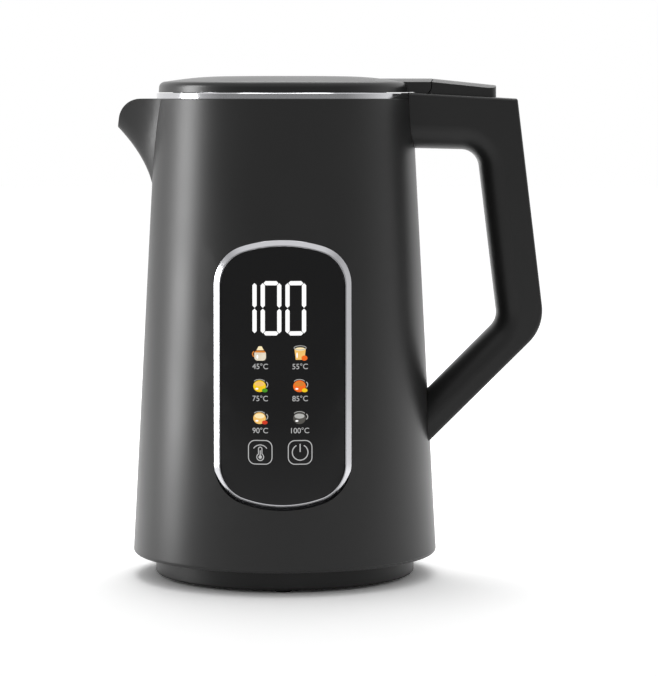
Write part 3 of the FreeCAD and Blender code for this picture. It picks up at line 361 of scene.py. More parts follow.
# drinks: warm inks, a little uneven over the lamps behind
CREAM_LIGHT = lit_ink("cream", "#f3ead9", "#d9c9ad")
AMBER_LIGHT = lit_ink("amber", "#e58a2e", "#cf7420")
STRAW_LIGHT = lit_ink("straw", "#ffd27a", "#f0b65a")
LEMON_LIGHT = lit_ink("lemon", "#ffd916", "#f0c000")
LEAF_LIGHT = lit_ink("leaf", "#4fa51e", "#3d8a14")
ORANGE_LIGHT = lit_ink("orange", "#ff7a14", "#ee5a08")
MILK_LIGHT = lit_ink("milk", "#fff4cf", "#ffe2a0")
RED_LIGHT = lit_ink("red", "#e23a12", "#c22c0c")
SMOKE_LIGHT = lit_ink("smoke", "#5c5a55", "#3f3d39")
SILVER_LIGHT = lit_ink("silver", "#c9c9c6", "#9c9c99")


@dataclass
class Assembly:
    """A sub-assembly of the kettle with the finishes of its construction."""

    title: str
    finishes: dict[str, Finish]

    def build(self) -> None:
        """Adds nothing where the construction already has every shape."""

    def dress(self) -> None:
        """Gives each node its material."""
        for node, finish in self.finishes.items():
            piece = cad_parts[node]
            piece.data.materials.clear()
            piece.data.materials.append(finish.material())
            log.info("%s: %s is %s", self.title, node, finish.name)


class Layer(IntEnum):
    """Places in the stack of printed layers."""

    BACK = 0
    MIDDLE = 1
    FRONT = 2


@dataclass
class Patch:
    """Flat artwork in millimetres, across from the swivel axis and up from the table."""

    points: list[Point]
    faces: Faces
    finish: Finish
    layer: Layer = Layer.BACK

    @classmethod
    def area(cls, outline: list[Point], finish: Finish, layer: Layer = Layer.BACK) -> "Patch":
        """Fills a convex outline whose points run anticlockwise."""
        return cls(outline, [tuple(range(len(outline)))], finish, layer)

    @classmethod
    def line(
        cls,
        path: list[Point],
        width: float,
        finish: Finish,
        layer: Layer = Layer.BACK,
        closed: bool = False,
    ) -> "Patch":
        """Draws a line of even width with mitred corners.

        Args:
            path: Points along the middle of the line.
            width: Width of the line.
            finish: Finish of the line.
            layer: Place in the stack of printed layers.
            closed: Whether the line returns to its start.
        Returns:
            The line as one row of quads.
        """
        count = len(path)
        sides: list[Point] = []
        for i, (x, z) in enumerate(path):
            before = path[i - 1] if closed or i else path[i]
            after = path[(i + 1) % count] if closed or i + 1 < count else path[i]
            ways = [Vector((x - before[0], z - before[1])), Vector((after[0] - x, after[1] - z))]
            ways = [w.normalized() for w in ways if w.length > 0]
            normals = [Vector((-w.y, w.x)) for w in ways]
            mitre = (normals[0] + normals[-1]).normalized()
            reach = width / 2 / mitre.dot(normals[0])
            across, up = mitre.x * reach, mitre.y * reach
            sides += [(x + across, z + up), (x - across, z - up)]
        last = count if closed else count - 1
        starts = [(2 * i, 2 * ((i + 1) % count)) for i in range(last)]
        return cls(sides, [(a + 1, b + 1, b, a) for a, b in starts], finish, layer)

    @classmethod
    def text(cls, words: str, middle: Point, height: float, finish: Finish) -> "Patch":
        """Draws plain numbers with their unit.

        Args:
            words: What to write.
            middle: Centre of the writing.
            height: Height of the figures.
            finish: Finish of the writing.
        Returns:
            The filled writing.
        """
        curve = bpy.data.curves.new("label", "FONT")
        curve.body = words
        holder = bpy.data.objects.new("label", curve)
        mesh = bpy.data.meshes.new_from_object(holder)
        xs = [v.co.x for v in mesh.vertices]
        ys = [v.co.y for v in mesh.vertices]
        scale = height / (max(ys) - min(ys))
        x0 = (max(xs) + min(xs)) / 2
        y0 = (max(ys) + min(ys)) / 2
        x, z = middle
        points = [(x + (v.co.x - x0) * scale, z + (v.co.y - y0) * scale) for v in mesh.vertices]
        faces = [tuple(p.vertices) for p in mesh.polygons]
        bpy.data.objects.remove(holder)
        bpy.data.curves.remove(curve)
        bpy.data.meshes.remove(mesh)
        return cls(points, faces, finish)


def ellipse(middle: Point, across: float, up: float, start: float, end: float, steps: int) -> list[Point]:
    """Points of an ellipse or of a part of it, anticlockwise.

    Args:
        middle: Centre.
        across: Half of the width.
        up: Half of the height.
        start: First angle in degrees.
        end: Last angle in degrees; a full turn leaves out the repeated point.
        steps: Number of runs between points.
    Returns:
        The points in order.
    """
    count = steps if end - start >= 360 else steps + 1
    turns = [math.radians(start + (end - start) * i / steps) for i in range(count)]
    return [(middle[0] + across * math.cos(t), middle[1] + up * math.sin(t)) for t in turns]


def rounded_box(middle: Point, across: float, up: float, bend: float, steps: int = 8) -> list[Point]:
    """Points of a rounded rectangle, anticlockwise.

    Args:
        middle: Centre.
        across: Half of the width.
        up: Half of the height.
        bend: Corner radius.
        steps: Number of runs in each corner.
    Returns:
        The points in order.
    """
    points: list[Point] = []
    for side, rise, start in ((1, -1, -90), (1, 1, 0), (-1, 1, 90), (-1, -1, 180)):
        corner = (middle[0] + side * (across - bend), middle[1] + rise * (up - bend))
        points += ellipse(corner, bend, bend, start, start + 90, steps)
    return points


def arched_box(
    middle: Point, across: float, up: float, bend: float, slope: float, steps: int = 24
) -> list[Point]:
    """Points of an upright box with arched ends and rounded corners, anticlockwise.

    Args:
        middle: Centre.
        across: Half of the width.
        up: Half of the height.
        bend: Corner radius.
        slope: Angle in degrees at which the arch meets the corner.
        steps: Number of runs in each arc.
    Returns:
        The points in order.
    """
    x, z = middle
    lean = math.radians(slope)
    side = across - bend
    arch = bend + side / math.sin(lean)
    rise = up - arch
    corner = rise + (arch - bend) * math.cos(lean)
    return (
        ellipse((x + side, z - corner), bend, bend, slope - 90, 0, steps)
        + ellipse((x + side, z + corner), bend, bend, 0, 90 - slope, steps)
        + ellipse((x, z + rise), arch, arch, 90 - slope, 90 + slope, steps)
        + ellipse((x - side, z + corner), bend, bend, 90 + slope, 180, steps)
        + ellipse((x - side, z - corner), bend, bend, 180, 270 - slope, steps)
        + ellipse((x, z - rise), arch, arch, 270 - slope, 270 + slope, steps)
    )


@dataclass(frozen=True)
class Oval:
    """An ellipse or a part of it, in millimetres from the middle of a picture."""

    across: float
    up: float
    x: float = 0.0
    z: float = 0.0
    start: float = 0.0
    end: float = 360.0
    steps: int = 32

    def points(self, middle: Point) -> list[Point]:
        """Points of the oval in a picture with this middle."""
        centre = (middle[0] + self.x, middle[1] + self.z)
        return ellipse(centre, self.across, self.up, self.start, self.end, self.steps)


@dataclass(frozen=True)
class Taper:
    """A shape with level ends and slanting sides, in millimetres from the middle of a picture."""

    low: float
    low_half: float
    high: float
    high_half: float

    def points(self, middle: Point) -> list[Point]:
        """Gives the corners in a picture with this middle.

        Args:
            middle: Middle of the picture.
        Returns:
            The four corners, anticlockwise.
        """
        x, z = middle
        return [
            (x - self.low_half, z + self.low), (x + self.low_half, z + self.low),
            (x + self.high_half, z + self.high), (x - self.high_half, z + self.high),
        ]


@dataclass(frozen=True)
class Picture(ABC):
    """One small lit picture of a vessel, with the temperature under it."""

    label: str
    drink: Finish
    surface: Finish
    extra: Finish | None = None

    @abstractmethod
    def patches(self, middle: Point) -> list[Patch]:
        """Pieces of the artwork, in a picture with this middle."""


@dataclass(frozen=True)
class Jar(Picture):
    """Squat jar with a lid, whose band and ear have the extra colour."""

    body_drop: float = 1.0
    body_half: float = 2.7
    body_rise: float = 2.3
    body_bend: float = 1.5
    lid: Taper = Taper(low=1.5, low_half=1.7, high=3.3, high_half=0.7)
    band: Taper = Taper(low=0.4, low_half=2.5, high=1.3, high_half=1.9)
    shine: Oval = Oval(across=0.45, up=0.9, x=-1.3, z=-1.5)
    ear: Oval = Oval(across=0.9, up=1.2, x=-2.6, z=-0.3, start=100, end=260, steps=12)
    ear_width: float = 0.5

    def patches(self, middle: Point) -> list[Patch]:
        """Draws the jar.

        Args:
            middle: Middle of the picture.
        Returns:
            The pieces of the artwork.
        """
        low_middle = (middle[0], middle[1] - self.body_drop)
        body = rounded_box(low_middle, self.body_half, self.body_rise, self.body_bend)
        layers = [
            Patch.area(body, self.drink),
            Patch.area(self.lid.points(middle), self.surface),
            Patch.area(self.shine.points(middle), WHITE_LIGHT, Layer.MIDDLE),
        ]
        if self.extra:
            layers.append(Patch.area(self.band.points(middle), self.extra, Layer.MIDDLE))
            layers.append(Patch.line(self.ear.points(middle), self.ear_width, self.extra))
        return layers


@dataclass(frozen=True)
class Tumbler(Picture):
    """Straight glass with a fruit of the extra colour beside its foot."""

    wall: Taper = Taper(low=-2.9, low_half=2.0, high=2.0, high_half=2.6)
    top: Oval = Oval(across=2.4, up=0.8, z=2.0)
    shine: Oval = Oval(across=0.35, up=1.3, x=-1.4, z=-0.8)
    rim: Oval = Oval(across=2.8, up=0.95, z=2.6)
    rim_width: float = 0.3
    fruit: Oval = Oval(across=1.4, up=1.2, x=2.0, z=-2.1)

    def patches(self, middle: Point) -> list[Patch]:
        """Draws the glass.

        Args:
            middle: Middle of the picture.
        Returns:
            The pieces of the artwork.
        """
        layers = [
            Patch.area(self.wall.points(middle), self.drink),
            Patch.area(self.top.points(middle), self.surface, Layer.MIDDLE),
            Patch.area(self.shine.points(middle), WHITE_LIGHT, Layer.MIDDLE),
            Patch.line(self.rim.points(middle), self.rim_width, SILVER_LIGHT, Layer.FRONT, closed=True),
        ]
        if self.extra:
            layers.append(Patch.area(self.fruit.points(middle), self.extra, Layer.FRONT))
        return layers


@dataclass(frozen=True)
class Cup(Picture):
    """Round cup with an ear, and a fruit of the extra colour beside its foot."""

    bowl: Oval = Oval(across=2.9, up=2.7, x=-0.3, z=-0.3)
    top: Oval = Oval(across=2.3, up=1.1, x=-0.3, z=0.7)
    shine: Oval = Oval(across=0.7, up=0.4, x=-1.5, z=-1.5)
    rim: Oval = Oval(across=2.6, up=1.3, x=-0.3, z=1.5, start=20, end=160, steps=16)
    rim_width: float = 0.3
    ear: Oval = Oval(across=0.9, up=1.2, x=2.6, z=0.4, start=-80, end=80, steps=12)
    ear_width: float = 0.4
    fruit: Oval = Oval(across=1.3, up=0.9, x=2.1, z=-2.2)

    def patches(self, middle: Point) -> list[Patch]:
        """Draws the cup.

        Args:
            middle: Middle of the picture.
        Returns:
            The pieces of the artwork.
        """
        layers = [
            Patch.area(self.bowl.points(middle), self.drink),
            Patch.area(self.top.points(middle), self.surface, Layer.MIDDLE),
            Patch.area(self.shine.points(middle), WHITE_LIGHT, Layer.MIDDLE),
            Patch.line(self.rim.points(middle), self.rim_width, SILVER_LIGHT, Layer.FRONT),
            Patch.line(self.ear.points(middle), self.ear_width, SILVER_LIGHT),
        ]
        if self.extra:
            layers.append(Patch.area(self.fruit.points(middle), self.extra, Layer.FRONT))
        return layers


# the small pictures, row by row
PICTURES: tuple[Picture, ...] = (
    Jar("45°C", CREAM_LIGHT, MILK_LIGHT, AMBER_LIGHT),
    Tumbler("55°C", STRAW_LIGHT, MILK_LIGHT, ORANGE_LIGHT),
    Cup("75°C", LEMON_LIGHT, STRAW_LIGHT, LEAF_LIGHT),
    Cup("85°C", ORANGE_LIGHT, AMBER_LIGHT, LEMON_LIGHT),
    Cup("90°C", STRAW_LIGHT, MILK_LIGHT, RED_LIGHT),
    Cup("100°C", SMOKE_LIGHT, SILVER_LIGHT),
)


@dataclass(frozen=True)
class TouchKey(ABC):
    """Sign in a rounded square that answers to a finger."""

    name: str
    half: float = 5.45
    corner: float = 3.1
    line_width: float = 0.4

    def patches(self, middle: Point) -> list[Patch]:
        """Rounded square and the sign in it."""
        path = rounded_box(middle, self.half, self.half, self.corner)
        return [Patch.line(path, self.line_width, LINE_LIGHT, closed=True)] + self.sign(middle)

    @abstractmethod
    def sign(self, middle: Point) -> list[Patch]:
        """Pieces of the sign, in a key with this middle."""


@dataclass(frozen=True)
class TemperatureKey(TouchKey):
    """Key with a thermometer under an arc."""

    bulb: Oval = Oval(across=1.6, up=1.6, z=-2.2, start=120, end=420, steps=20)
    tip: Oval = Oval(across=0.8, up=0.8, z=1.6, end=180, steps=10)
    filling: Oval = Oval(across=0.8, up=0.8, z=-2.2, steps=16)
    thread_low: float = -1.5
    thread_high: float = 0.9
    thread_width: float = 0.45
    arc: Oval = Oval(across=3.9, up=4.3, z=-0.9, start=38, end=142, steps=16)

    def sign(self, middle: Point) -> list[Patch]:
        """Draws the thermometer and its arc.

        Args:
            middle: Middle of the key.
        Returns:
            The lines and the filled bulb.
        """
        x, z = middle
        outline = self.bulb.points(middle) + self.tip.points(middle)
        thread = [(x, z + self.thread_low), (x, z + self.thread_high)]
        return [
            Patch.line(outline, self.line_width, LINE_LIGHT, closed=True),
            Patch.area(self.filling.points(middle), LINE_LIGHT),
            Patch.line(thread, self.thread_width, LINE_LIGHT, Layer.MIDDLE),
            Patch.line(self.arc.points(middle), self.line_width, LINE_LIGHT),
        ]


@dataclass(frozen=True)
class PowerKey(TouchKey):
    """Key with the common sign of a power switch: an open ring and a bar."""

    ring: Oval = Oval(across=3.6, up=3.6, start=118, end=422, steps=36)
    ring_width: float = 0.45
    bar_low: float = 0.2
    bar_high: float = 3.9
    bar_width: float = 0.5

    def sign(self, middle: Point) -> list[Patch]:
        """Draws the ring and the bar.

        Args:
            middle: Middle of the key.
        Returns:
            The two lines.
        """
        x, z = middle
        bar = [(x, z + self.bar_low), (x, z + self.bar_high)]
        return [
            Patch.line(self.ring.points(middle), self.ring_width, LINE_LIGHT),
            Patch.line(bar, self.bar_width, LINE_LIGHT),
        ]


# lit bars of each figure, from a at the top clockwise to f
LIT_BARS = {"0": "abcdef", "1": "bc"}


@dataclass
class DisplayPanel(Assembly):
    """Black window in its bright frame, with lit digits, small pictures and two touch keys.

    Lengths are in millimetres and angles in degrees.
    """

    title: str = "display panel"
    finishes: dict[str, Finish] = field(default_factory=lambda: {
        "panel_bezel": CHROMED_ABS,
        "panel_window": BLACK_ACRYLIC,
        "display_board": SOLDER_MASK,
        "board_screws": ZINC_STEEL,
        "digit_module": SILICONE,
        "icon_module": SILICONE,
    })
    # the frame's outline and its section
    bezel_width: float = 2.8
    bezel_corner: float = 18.8
    bezel_slope: float = 18.0
    bezel_height: float = 0.9
    bezel_fall: float = 0.85
    bezel_land: float = 0.45
    bezel_round: float = 0.12
    bezel_depth: float = 1.8
    # upward share of the way in between which its face turns steep, and how far its outer edge then sinks
    steep_start: float = 0.15
    steep_end: float = 0.75
    steep_fall: float = 1.5
    # smallest turn between two faces that shows as an edge
    crease: float = 15.0
    # points of a path that are nearer than this count as one
    same_place: float = 1e-4
    # how far the window's face and the rim ring lie behind the body's cone
    window_inset: float = 0.1
    ring_inset: float = 0.2
    # widest flat strip that still follows the cone
    slice_width: float = 1.5
    # gap between window and print, pitch of the printed layers, and the share of it that the ink fills
    ink_gap: float = 0.02
    ink_step: float = 0.04
    ink_share: float = 0.75
    # the large figures and their bars
    digits_low: float = 120.9
    digits_left: float = -21.46
    digit_height: float = 25.0
    digit_width: float = 9.55
    digit_pitch: float = 11.4
    stroke: float = 1.95
    stroke_gap: float = 0.35
    middle_gap: float = 0.2
    # places of the small pictures, their labels and the keys
    columns: tuple[float, float] = (-10.3, 8.1)
    top_row: float = 112.6
    row_pitch: float = 14.75
    label_drop: float = 5.9
    label_height: float = 2.6
    key_z: float = 67.1
    keys: tuple[TouchKey, TouchKey] = (TemperatureKey("temperature_key"), PowerKey("power_key"))

    def face_radius(self, z: float) -> float:
        """Radius of the body's cone at a height, in millimetres.

        Args:
            z: Height in millimetres.
        Returns:
            The radius, from the window's foot and the steel ring at the rim.
        """
        foot = corners("panel_window")[0]
        rim = corners("rim_ring")[0]
        low_r = self.window_inset - foot.y
        rim_r = self.ring_inset - rim.y
        return low_r + (rim_r - low_r) * (z - foot.z) / (rim.z - foot.z)

    def place(self, x: float, z: float, lift: float) -> tuple[float, float, float]:
        """Point in front of the body's cone.

        Args:
            x: Distance across from the swivel axis, in millimetres.
            z: Height in millimetres.
            lift: Distance out from the cone, in millimetres.
        Returns:
            The point in metres.
        """
        radius = self.face_radius(z) + lift
        return axis_x() + x * MM, -math.sqrt(radius ** 2 - x ** 2) * MM, z * MM

    def build(self) -> None:
        """Makes the frame and the lit print on the window."""
        self.add_bezel()
        self.add_print("temperature_digits", self.digits("100"))
        for i, picture in enumerate(PICTURES):
            row, column = divmod(i, len(self.columns))
            middle = (self.columns[column], self.top_row - row * self.row_pitch)
            below = (middle[0], middle[1] - self.label_drop)
            label = Patch.text(picture.label, below, self.label_height, LINE_LIGHT)
            self.add_print("drink_picture_%d%d" % (row + 1, column + 1), picture.patches(middle) + [label])
        for key, x in zip(self.keys, self.columns):
            self.add_print(key.name, key.patches((x, self.key_z)))

    def add_piece(self, name: str, points: list, faces: Faces, slot: str) -> bpy.types.Object:
        """Adds a mesh that moves with the kettle.

        Args:
            name: Name of the piece.
            points: Corners in metres.
            faces: Corner numbers of each face.
            slot: Material slot of the record; not used.
        Returns:
            The new piece.
        """
        mesh = bpy.data.meshes.new(name)
        mesh.from_pydata(points, [], faces)
        piece = bpy.data.objects.new(name, mesh)
        bpy.context.scene.collection.objects.link(piece)
        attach(piece, "kettle")
        log.info("%s: %s has %d faces", self.title, name, len(faces))
        return piece

    def add_bezel(self) -> None:
        """Makes the frame with a sloping face, which turns steep along the lower end."""
        low, high = corners("panel_bezel")
        half = self.bezel_width / 2
        middle = (0.0, (low.z + high.z) / 2)
        across = (high.x - low.x) / 2 - half
        up = (high.z - low.z) / 2 - half
        path = self.spread(arched_box(middle, across, up, self.bezel_corner - half, self.bezel_slope))
        points = []
        for i, (x, z) in enumerate(path):
            ahead = Vector(path[(i + 1) % len(path)]) - Vector(path[i - 1])
            inward = Vector((-ahead.y, ahead.x)).normalized()
            section = self.bezel_section(inward.y)
            points += [self.place(x + inward.x * u, z + inward.y * u, h) for u, h in section]
        count = len(points) // len(path)
        faces = []
        for i in range(len(path)):
            here, there = i * count, (i + 1) % len(path) * count
            for k in range(count):
                after = (k + 1) % count
                faces.append((here + k, there + k, there + after, here + after))
        bezel = self.add_piece("display_bezel", points, faces, "polished_steel")
        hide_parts("panel_bezel")
        bezel.data.materials.append(CHROMED_ABS.material())
        bezel.data.shade_smooth()
        bezel.data.set_sharp_from_angle(angle=math.radians(self.crease))

    def bezel_section(self, rise: float) -> list[Point]:
        """Gives the frame's section from its outer side to its inner side.

        Args:
            rise: Upward share of the way in from the outer edge, which is 1 at the frame's lower end.
        Returns:
            Points by their distance across the frame and their height over the cone.
        """
        half = self.bezel_width / 2
        top = self.bezel_height
        bend = self.bezel_round
        steep = (rise - self.steep_start) / (self.steep_end - self.steep_start)
        edge = top - self.bezel_fall - self.steep_fall * min(max(steep, 0.0), 1.0)
        return [
            (-half, -self.bezel_depth),
            (-half, edge - bend),
            (bend - half, edge),
            (half - self.bezel_land, top),
            (half - bend, top),
            (half, top - bend),
            (half, -self.bezel_depth),
        ]

    def spread(self, path: list[Point]) -> list[Point]:
        """Adds points to the straight runs of a closed path, so that it follows the cone.

        Args:
            path: Points in order.
        Returns:
            The path with no run longer than a slice.
        """
        points: list[Point] = []
        for start, end in zip(path, path[1:] + path[:1]):
            run = Vector(end) - Vector(start)
            if run.length < self.same_place:
                continue
            parts = math.ceil(run.length / self.slice_width)
            points += [tuple(Vector(start) + run * i / parts) for i in range(parts)]
        return points

    def add_print(self, name: str, patches: list[Patch]) -> None:
        """Makes thin closed plates from flat artwork, bent to the window's face.

        Args:
            name: Name of the piece.
            patches: The artwork.
        """
        points: list[tuple[float, float, float]] = []
        faces: Faces = []
        inks: list[int] = []
        finishes = list({p.finish.name: p.finish for p in patches}.values())
        for patch in patches:
            flat = self.sliced(patch)
            back = self.ink_gap + self.ink_step * patch.layer - self.window_inset
            front = back + self.ink_step * self.ink_share
            start = len(points)
            count = len(flat.verts)
            points += [self.place(v.co.x, v.co.z, front) for v in flat.verts]
            points += [self.place(v.co.x, v.co.z, back) for v in flat.verts]
            sheet = [[start + v.index for v in f.verts] for f in flat.faces]
            plate = [tuple(s) for s in sheet] + [tuple(i + count for i in reversed(s)) for s in sheet]
            for edge in flat.edges:
                if len(edge.link_faces) == 1:
                    corner = edge.link_loops[0]
                    a = start + corner.vert.index
                    b = start + corner.link_loop_next.vert.index
                    plate.append((b, a, a + count, b + count))
            faces += plate
            inks += [finishes.index(patch.finish)] * len(plate)
            flat.free()
        piece = self.add_piece(name, points, faces, "display_light")
        for finish in finishes:
            piece.data.materials.append(finish.material())
        piece.data.polygons.foreach_set("material_index", inks)

    def sliced(self, patch: Patch) -> bmesh.types.BMesh:
        """Cuts flat artwork into upright slices, narrow enough to follow the cone.

        Args:
            patch: The artwork.
        Returns:
            A flat mesh with its corners numbered.
        """
        flat = bmesh.new()
        verts = [flat.verts.new((x, 0, z)) for x, z in patch.points]
        for face in patch.faces:
            flat.faces.new([verts[i] for i in face])
        low = min(x for x, _ in patch.points)
        high = max(x for x, _ in patch.points)
        for i in range(math.ceil(low / self.slice_width), math.floor(high / self.slice_width) + 1):
            parts = flat.verts[:] + flat.edges[:] + flat.faces[:]
            cut = (i * self.slice_width, 0, 0)
            bmesh.ops.bisect_plane(flat, geom=parts, plane_co=cut, plane_no=(1, 0, 0))
        flat.verts.index_update()
        return flat

    def digits(self, number: str) -> list[Patch]:
        """Draws a number in seven-bar figures.

        Args:
            number: Figures 0 and 1.
        Returns:
            The lit bars.
        """
        patches: list[Patch] = []
        for i, figure in enumerate(number):
            left = self.digits_left + i * self.digit_pitch
            patches += [self.bar(bar, left) for bar in LIT_BARS[figure]]
        return patches

    def bar(self, name: str, left: float) -> Patch:
        """Draws one bar of a figure.

        Args:
            name: Letter of the bar, from a at the top clockwise to f.
            left: Left edge of the figure.
        Returns:
            A six-sided bar with pointed ends.
        """
        half = self.stroke / 2
        gap = self.stroke_gap
        low = self.digits_low
        middle = low + self.digit_height / 2
        high = low + self.digit_height
        if name in "ad":
            z = high - half if name == "a" else low + half
            x0 = left + half + gap
            x1 = left + self.digit_width - half - gap
            return Patch.area([
                (x0, z), (x0 + half, z - half), (x1 - half, z - half),
                (x1, z), (x1 - half, z + half), (x0 + half, z + half),
            ], WHITE_LIGHT)
        x = left + half if name in "ef" else left + self.digit_width - half
        z0 = middle + self.middle_gap if name in "bf" else low + half
        z1 = high - half if name in "bf" else middle - self.middle_gap
        return Patch.area([
            (x, z0), (x + half, z0 + half), (x + half, z1 - half),
            (x, z1), (x - half, z1 - half), (x - half, z0 + half),
        ], WHITE_LIGHT)


@dataclass
class PowerBase(Assembly):
    """Round base that stands on the table and feeds the kettle."""

    title: str = "power base"
    finishes: dict[str, Finish] = field(default_factory=lambda: {
        "base_cover": BASE_PP,
        "base_floor": BASE_PP,
        "base_feet": FOOT_RUBBER,
        "base_screws": ZINC_STEEL,
        "base_connector": FITTING_NYLON,
        "base_contacts": BRASS,
        "cord_bushing": FOOT_RUBBER,
    })


@dataclass
class RoundSocket(Assembly):
    """Socket under the kettle that takes the base's post."""

    title: str = "round socket"
    finishes: dict[str, Finish] = field(default_factory=lambda: {
        "round_socket": FITTING_NYLON,
        "socket_pins": BRASS,
    })


@dataclass
class Body(Assembly):
    """Conical shell with its beak, the steel pot inside and the cover below."""

    title: str = "body"
    finishes: dict[str, Finish] = field(default_factory=lambda: {
        "outer_shell": SHELL_ABS,
        "inner_pot": DRAWN_STEEL,
        "rim_ring": BRIGHT_STEEL,
        "rim_seal": SILICONE,
        "spout_seal": SILICONE,
        "spout_strainer": DRAWN_STEEL,
        "bottom_cover": FITTING_NYLON,
        "bottom_screws": ZINC_STEEL,
    })


@dataclass
class Lid(Assembly):
    """Domed lid with its pan and gasket."""

    title: str = "lid"
    finishes: dict[str, Finish] = field(default_factory=lambda: {
        "lid_cover": LID_ABS,
        "lid_pan": DRAWN_STEEL,
        "lid_gasket": SILICONE,
        "lid_screws": ZINC_STEEL,
    })


@dataclass
class Handle(Assembly):
    """Angular handle with the hinge and the springs in its head."""

    title: str = "handle"
    finishes: dict[str, Finish] = field(default_factory=lambda: {
        "handle_frame": GRIP_NYLON,
        "handle_cover": GRIP_NYLON,
        "handle_screws": ZINC_STEEL,
        "hinge_carrier": FITTING_NYLON,
        "carrier_screws": ZINC_STEEL,
        "hinge_pin": ZINC_STEEL,
        "rocker_pin": ZINC_STEEL,
        "lid_springs": SPRING_WIRE,
        "button_spring": SPRING_WIRE,
    })


@dataclass
class ThumbButton(Assembly):
    """Button behind the lid, with the clip that holds the lid shut."""

    title: str = "thumb button"
    finishes: dict[str, Finish] = field(default_factory=lambda: {
        "release_button": LID_ABS,
        "catch_clip": SPRING_WIRE,
    })


@dataclass
class Heater(Assembly):
    """Heating plate and element under the pot, with the board that switches them."""

    title: str = "heater"
    finishes: dict[str, Finish] = field(default_factory=lambda: {
        "heating_plate": CAST_ALUMINIUM,
        "heating_element": SHEATH_STEEL,
        "element_leads": WIRE_VINYL,
        "thermal_cutouts": STEATITE,
        "temperature_probe": SHEATH_STEEL,
        "power_board": SOLDER_MASK,
        "power_board_screws": ZINC_STEEL,
        "heater_relay": RELAY_CASE,
        "ribbon_cable": WIRE_VINYL,
    })


@dataclass(frozen=True)
class Lamp:
    """Soft lamp that faces the middle of the kettle."""

    name: str
    place: tuple[float, float, float]
    width: float
    height: float
    power: float
    only_mirrored: bool = False

    def build(self, aim: Vector) -> None:
        """Adds the lamp.

        Args:
            aim: Point that it faces.
        """
        data = bpy.data.lights.new(self.name, "AREA")
        data.shape = "RECTANGLE"
        data.size = self.width
        data.size_y = self.height
        data.energy = self.power
        lamp = bpy.data.objects.new(self.name, data)
        lamp.location = self.place
        lamp.rotation_euler = (aim - Vector(self.place)).to_track_quat("-Z", "Y").to_euler()
        lamp.visible_camera = False
        lamp.visible_diffuse = not self.only_mirrored
        bpy.context.scene.collection.objects.link(lamp)


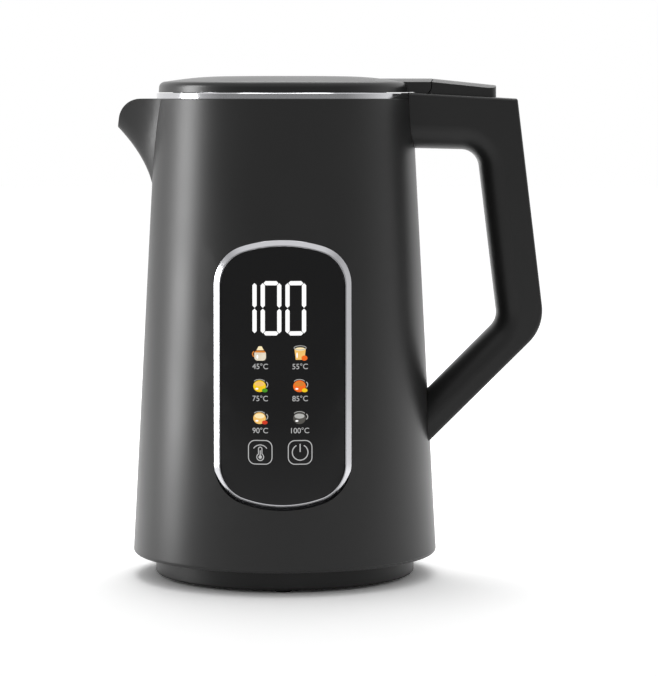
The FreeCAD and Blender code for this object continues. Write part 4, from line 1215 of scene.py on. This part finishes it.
@dataclass
class Studio:
    """Pale floor, soft lights and the camera at the photograph's place.

    Lengths are in metres, and the camera's sensor in millimetres.
    """

    camera_place: tuple[float, float, float] = (-0.0004, -1.419, 0.2309)
    camera_pitch: float = 4.7
    # focal length in points of the picture
    focal_points: float = 2948.0
    sensor: float = 36.0
    floor_half: float = 6.0
    # white of the floor: as it lights the kettle, as it is seen, and as it is seen where it is lifted
    floor_bounce: float = 0.45
    floor_white: float = 0.94
    lifted_white: float = 1.62
    # where the lift starts and ends: along Y, and by the distance from the middle
    lift_start: float = -0.55
    lift_end: float = 0.3
    far_start: float = 0.3
    far_end: float = 1.0
    aim_height: float = 0.14
    # strength of the surroundings as they light the kettle
    soft_light: float = 0.65
    # the surroundings as they are mirrored: dark behind the camera, white ahead of it and pale above
    dark_wall: float = 0.3
    dark_edge: float = -0.55
    white_edge: float = 0.3
    bright_sky: float = 0.9
    low_sky: float = 0.25
    high_sky: float = 0.6
    lamps: tuple[Lamp, ...] = (
        Lamp("strip_left", (-0.62, 0.0, 0.24), width=0.2, height=0.5, power=3.5, only_mirrored=True),
        Lamp("top_soft", (0.0, 0.5, 1.25), width=0.9, height=1.2, power=8.8),
    )

    def build(self) -> None:
        """Makes the floor, the lights, the surroundings and the camera."""
        self.floor()
        self.world()
        for lamp in self.lamps:
            lamp.build(Vector((axis_x(), 0, self.aim_height)))
        self.camera()

    def camera(self) -> None:
        """Makes the camera."""
        data = bpy.data.cameras.new("camera")
        data.sensor_width = self.sensor
        data.lens = self.focal_points * self.sensor / max(PICTURE_WIDTH, PICTURE_HEIGHT)
        camera = bpy.data.objects.new("camera", data)
        camera.location = self.camera_place
        camera.rotation_euler = (math.radians(90 - self.camera_pitch), 0, 0)
        bpy.context.scene.collection.objects.link(camera)
        bpy.context.scene.camera = camera

    def floor(self) -> None:
        """Makes the pale floor, which is lifted to white where the lamp's light thins out."""
        half = self.floor_half
        mesh = bpy.data.meshes.new("floor")
        edge = [(-half, -half, 0), (half, -half, 0), (half, half, 0), (-half, half, 0)]
        mesh.from_pydata(edge, [], [(0, 1, 2, 3)])
        floor = bpy.data.objects.new("floor", mesh)
        material = bpy.data.materials.new("floor_paper")
        material.use_nodes = True
        tree = material.node_tree
        tree.nodes.clear()
        place = add_node(tree, "ShaderNodeTexCoord").outputs["Object"]
        split = add_node(tree, "ShaderNodeSeparateXYZ", links={0: place})
        distance = add_node(tree, "ShaderNodeVectorMath", {"operation": "LENGTH"}, {0: place})
        lifts = []
        for way, start, end in (
            (split.outputs["Y"], self.lift_start, self.lift_end),
            (distance.outputs["Value"], self.far_start, self.far_end),
        ):
            lift = add_node(
                tree,
                "ShaderNodeMapRange",
                {
                    "From Min": start,
                    "From Max": end,
                    "To Min": self.floor_white,
                    "To Max": self.lifted_white,
                },
                {"Value": way},
            )
            lifts.append(lift.outputs["Result"])
        behind, away = lifts
        path = add_node(tree, "ShaderNodeLightPath")
        seen = add_node(
            tree, "ShaderNodeMath", {"operation": "MULTIPLY"}, {0: path.outputs["Is Camera Ray"], 1: away}
        )
        lifted = add_node(tree, "ShaderNodeMath", {"operation": "MAXIMUM"}, {0: behind, 1: seen.outputs[0]})
        white = add_node(
            tree,
            "ShaderNodeMapRange",
            {"To Min": self.floor_bounce},
            {"Value": self.background_rays(tree), "To Max": lifted.outputs[0]},
        )
        paper = add_node(tree, "ShaderNodeBsdfDiffuse", links={"Color": white.outputs["Result"]})
        add_node(tree, "ShaderNodeOutputMaterial", links={"Surface": paper.outputs["BSDF"]})
        mesh.materials.append(material)
        bpy.context.scene.collection.objects.link(floor)

    def background_rays(self, tree: bpy.types.NodeTree) -> bpy.types.NodeSocket:
        """Tells the rays that show the background from those that only light the kettle.

        Args:
            tree: Node tree that takes the nodes.
        Returns:
            Socket that is 1 for a ray seen straight, mirrored or through glass, else 0.
        """
        path = add_node(tree, "ShaderNodeLightPath")
        seen = add_node(
            tree,
            "ShaderNodeMath",
            {"operation": "MAXIMUM"},
            {0: path.outputs["Is Camera Ray"], 1: path.outputs["Is Glossy Ray"]},
        )
        through = add_node(
            tree,
            "ShaderNodeMath",
            {"operation": "MAXIMUM"},
            {0: seen.outputs[0], 1: path.outputs["Is Transmission Ray"]},
        )
        return through.outputs[0]

    def world(self) -> None:
        """Makes white surroundings that darken behind the camera, as reflections in the body show."""
        world = bpy.data.worlds.new("studio")
        bpy.context.scene.world = world
        world.use_nodes = True
        tree = world.node_tree
        tree.nodes.clear()
        way = add_node(tree, "ShaderNodeTexCoord")
        split = add_node(tree, "ShaderNodeSeparateXYZ", links={0: way.outputs["Generated"]})
        wall = add_node(
            tree,
            "ShaderNodeMapRange",
            {
                "From Min": self.dark_edge,
                "From Max": self.white_edge,
                "To Min": self.dark_wall,
                "To Max": WHITE,
            },
            {"Value": split.outputs["Y"]},
        )
        sky = add_node(
            tree,
            "ShaderNodeMapRange",
            {
                "From Min": self.low_sky,
                "From Max": self.high_sky,
                "To Min": self.dark_wall,
                "To Max": self.bright_sky,
            },
            {"Value": split.outputs["Z"]},
        )
        room = add_node(
            tree,
            "ShaderNodeMath",
            {"operation": "MAXIMUM"},
            {0: wall.outputs["Result"], 1: sky.outputs["Result"]},
        )
        path = add_node(tree, "ShaderNodeLightPath")
        shown = add_node(
            tree,
            "ShaderNodeMapRange",
            {"To Max": WHITE},
            {"Value": path.outputs["Is Camera Ray"], "To Min": room.outputs[0]},
        )
        strength = add_node(
            tree,
            "ShaderNodeMapRange",
            {"To Min": self.soft_light},
            {"Value": self.background_rays(tree), "To Max": shown.outputs["Result"]},
        )
        light = add_node(
            tree, "ShaderNodeBackground", {"Color": (WHITE,) * 4}, {"Strength": strength.outputs[0]}
        )
        add_node(tree, "ShaderNodeOutputWorld", links={"Surface": light.outputs[0]})


def main() -> None:
    """Builds the scene in order."""
    logging.basicConfig(level=logging.INFO, format="%(message)s")
    bpy.context.scene.view_settings.view_transform = "Standard"
    for assembly in (
        PowerBase(), RoundSocket(), Body(), Lid(), Handle(), ThumbButton(), Heater(), DisplayPanel(),
    ):
        assembly.build()
        assembly.dress()
    Studio().build()


if __name__ == "__main__":
    main()
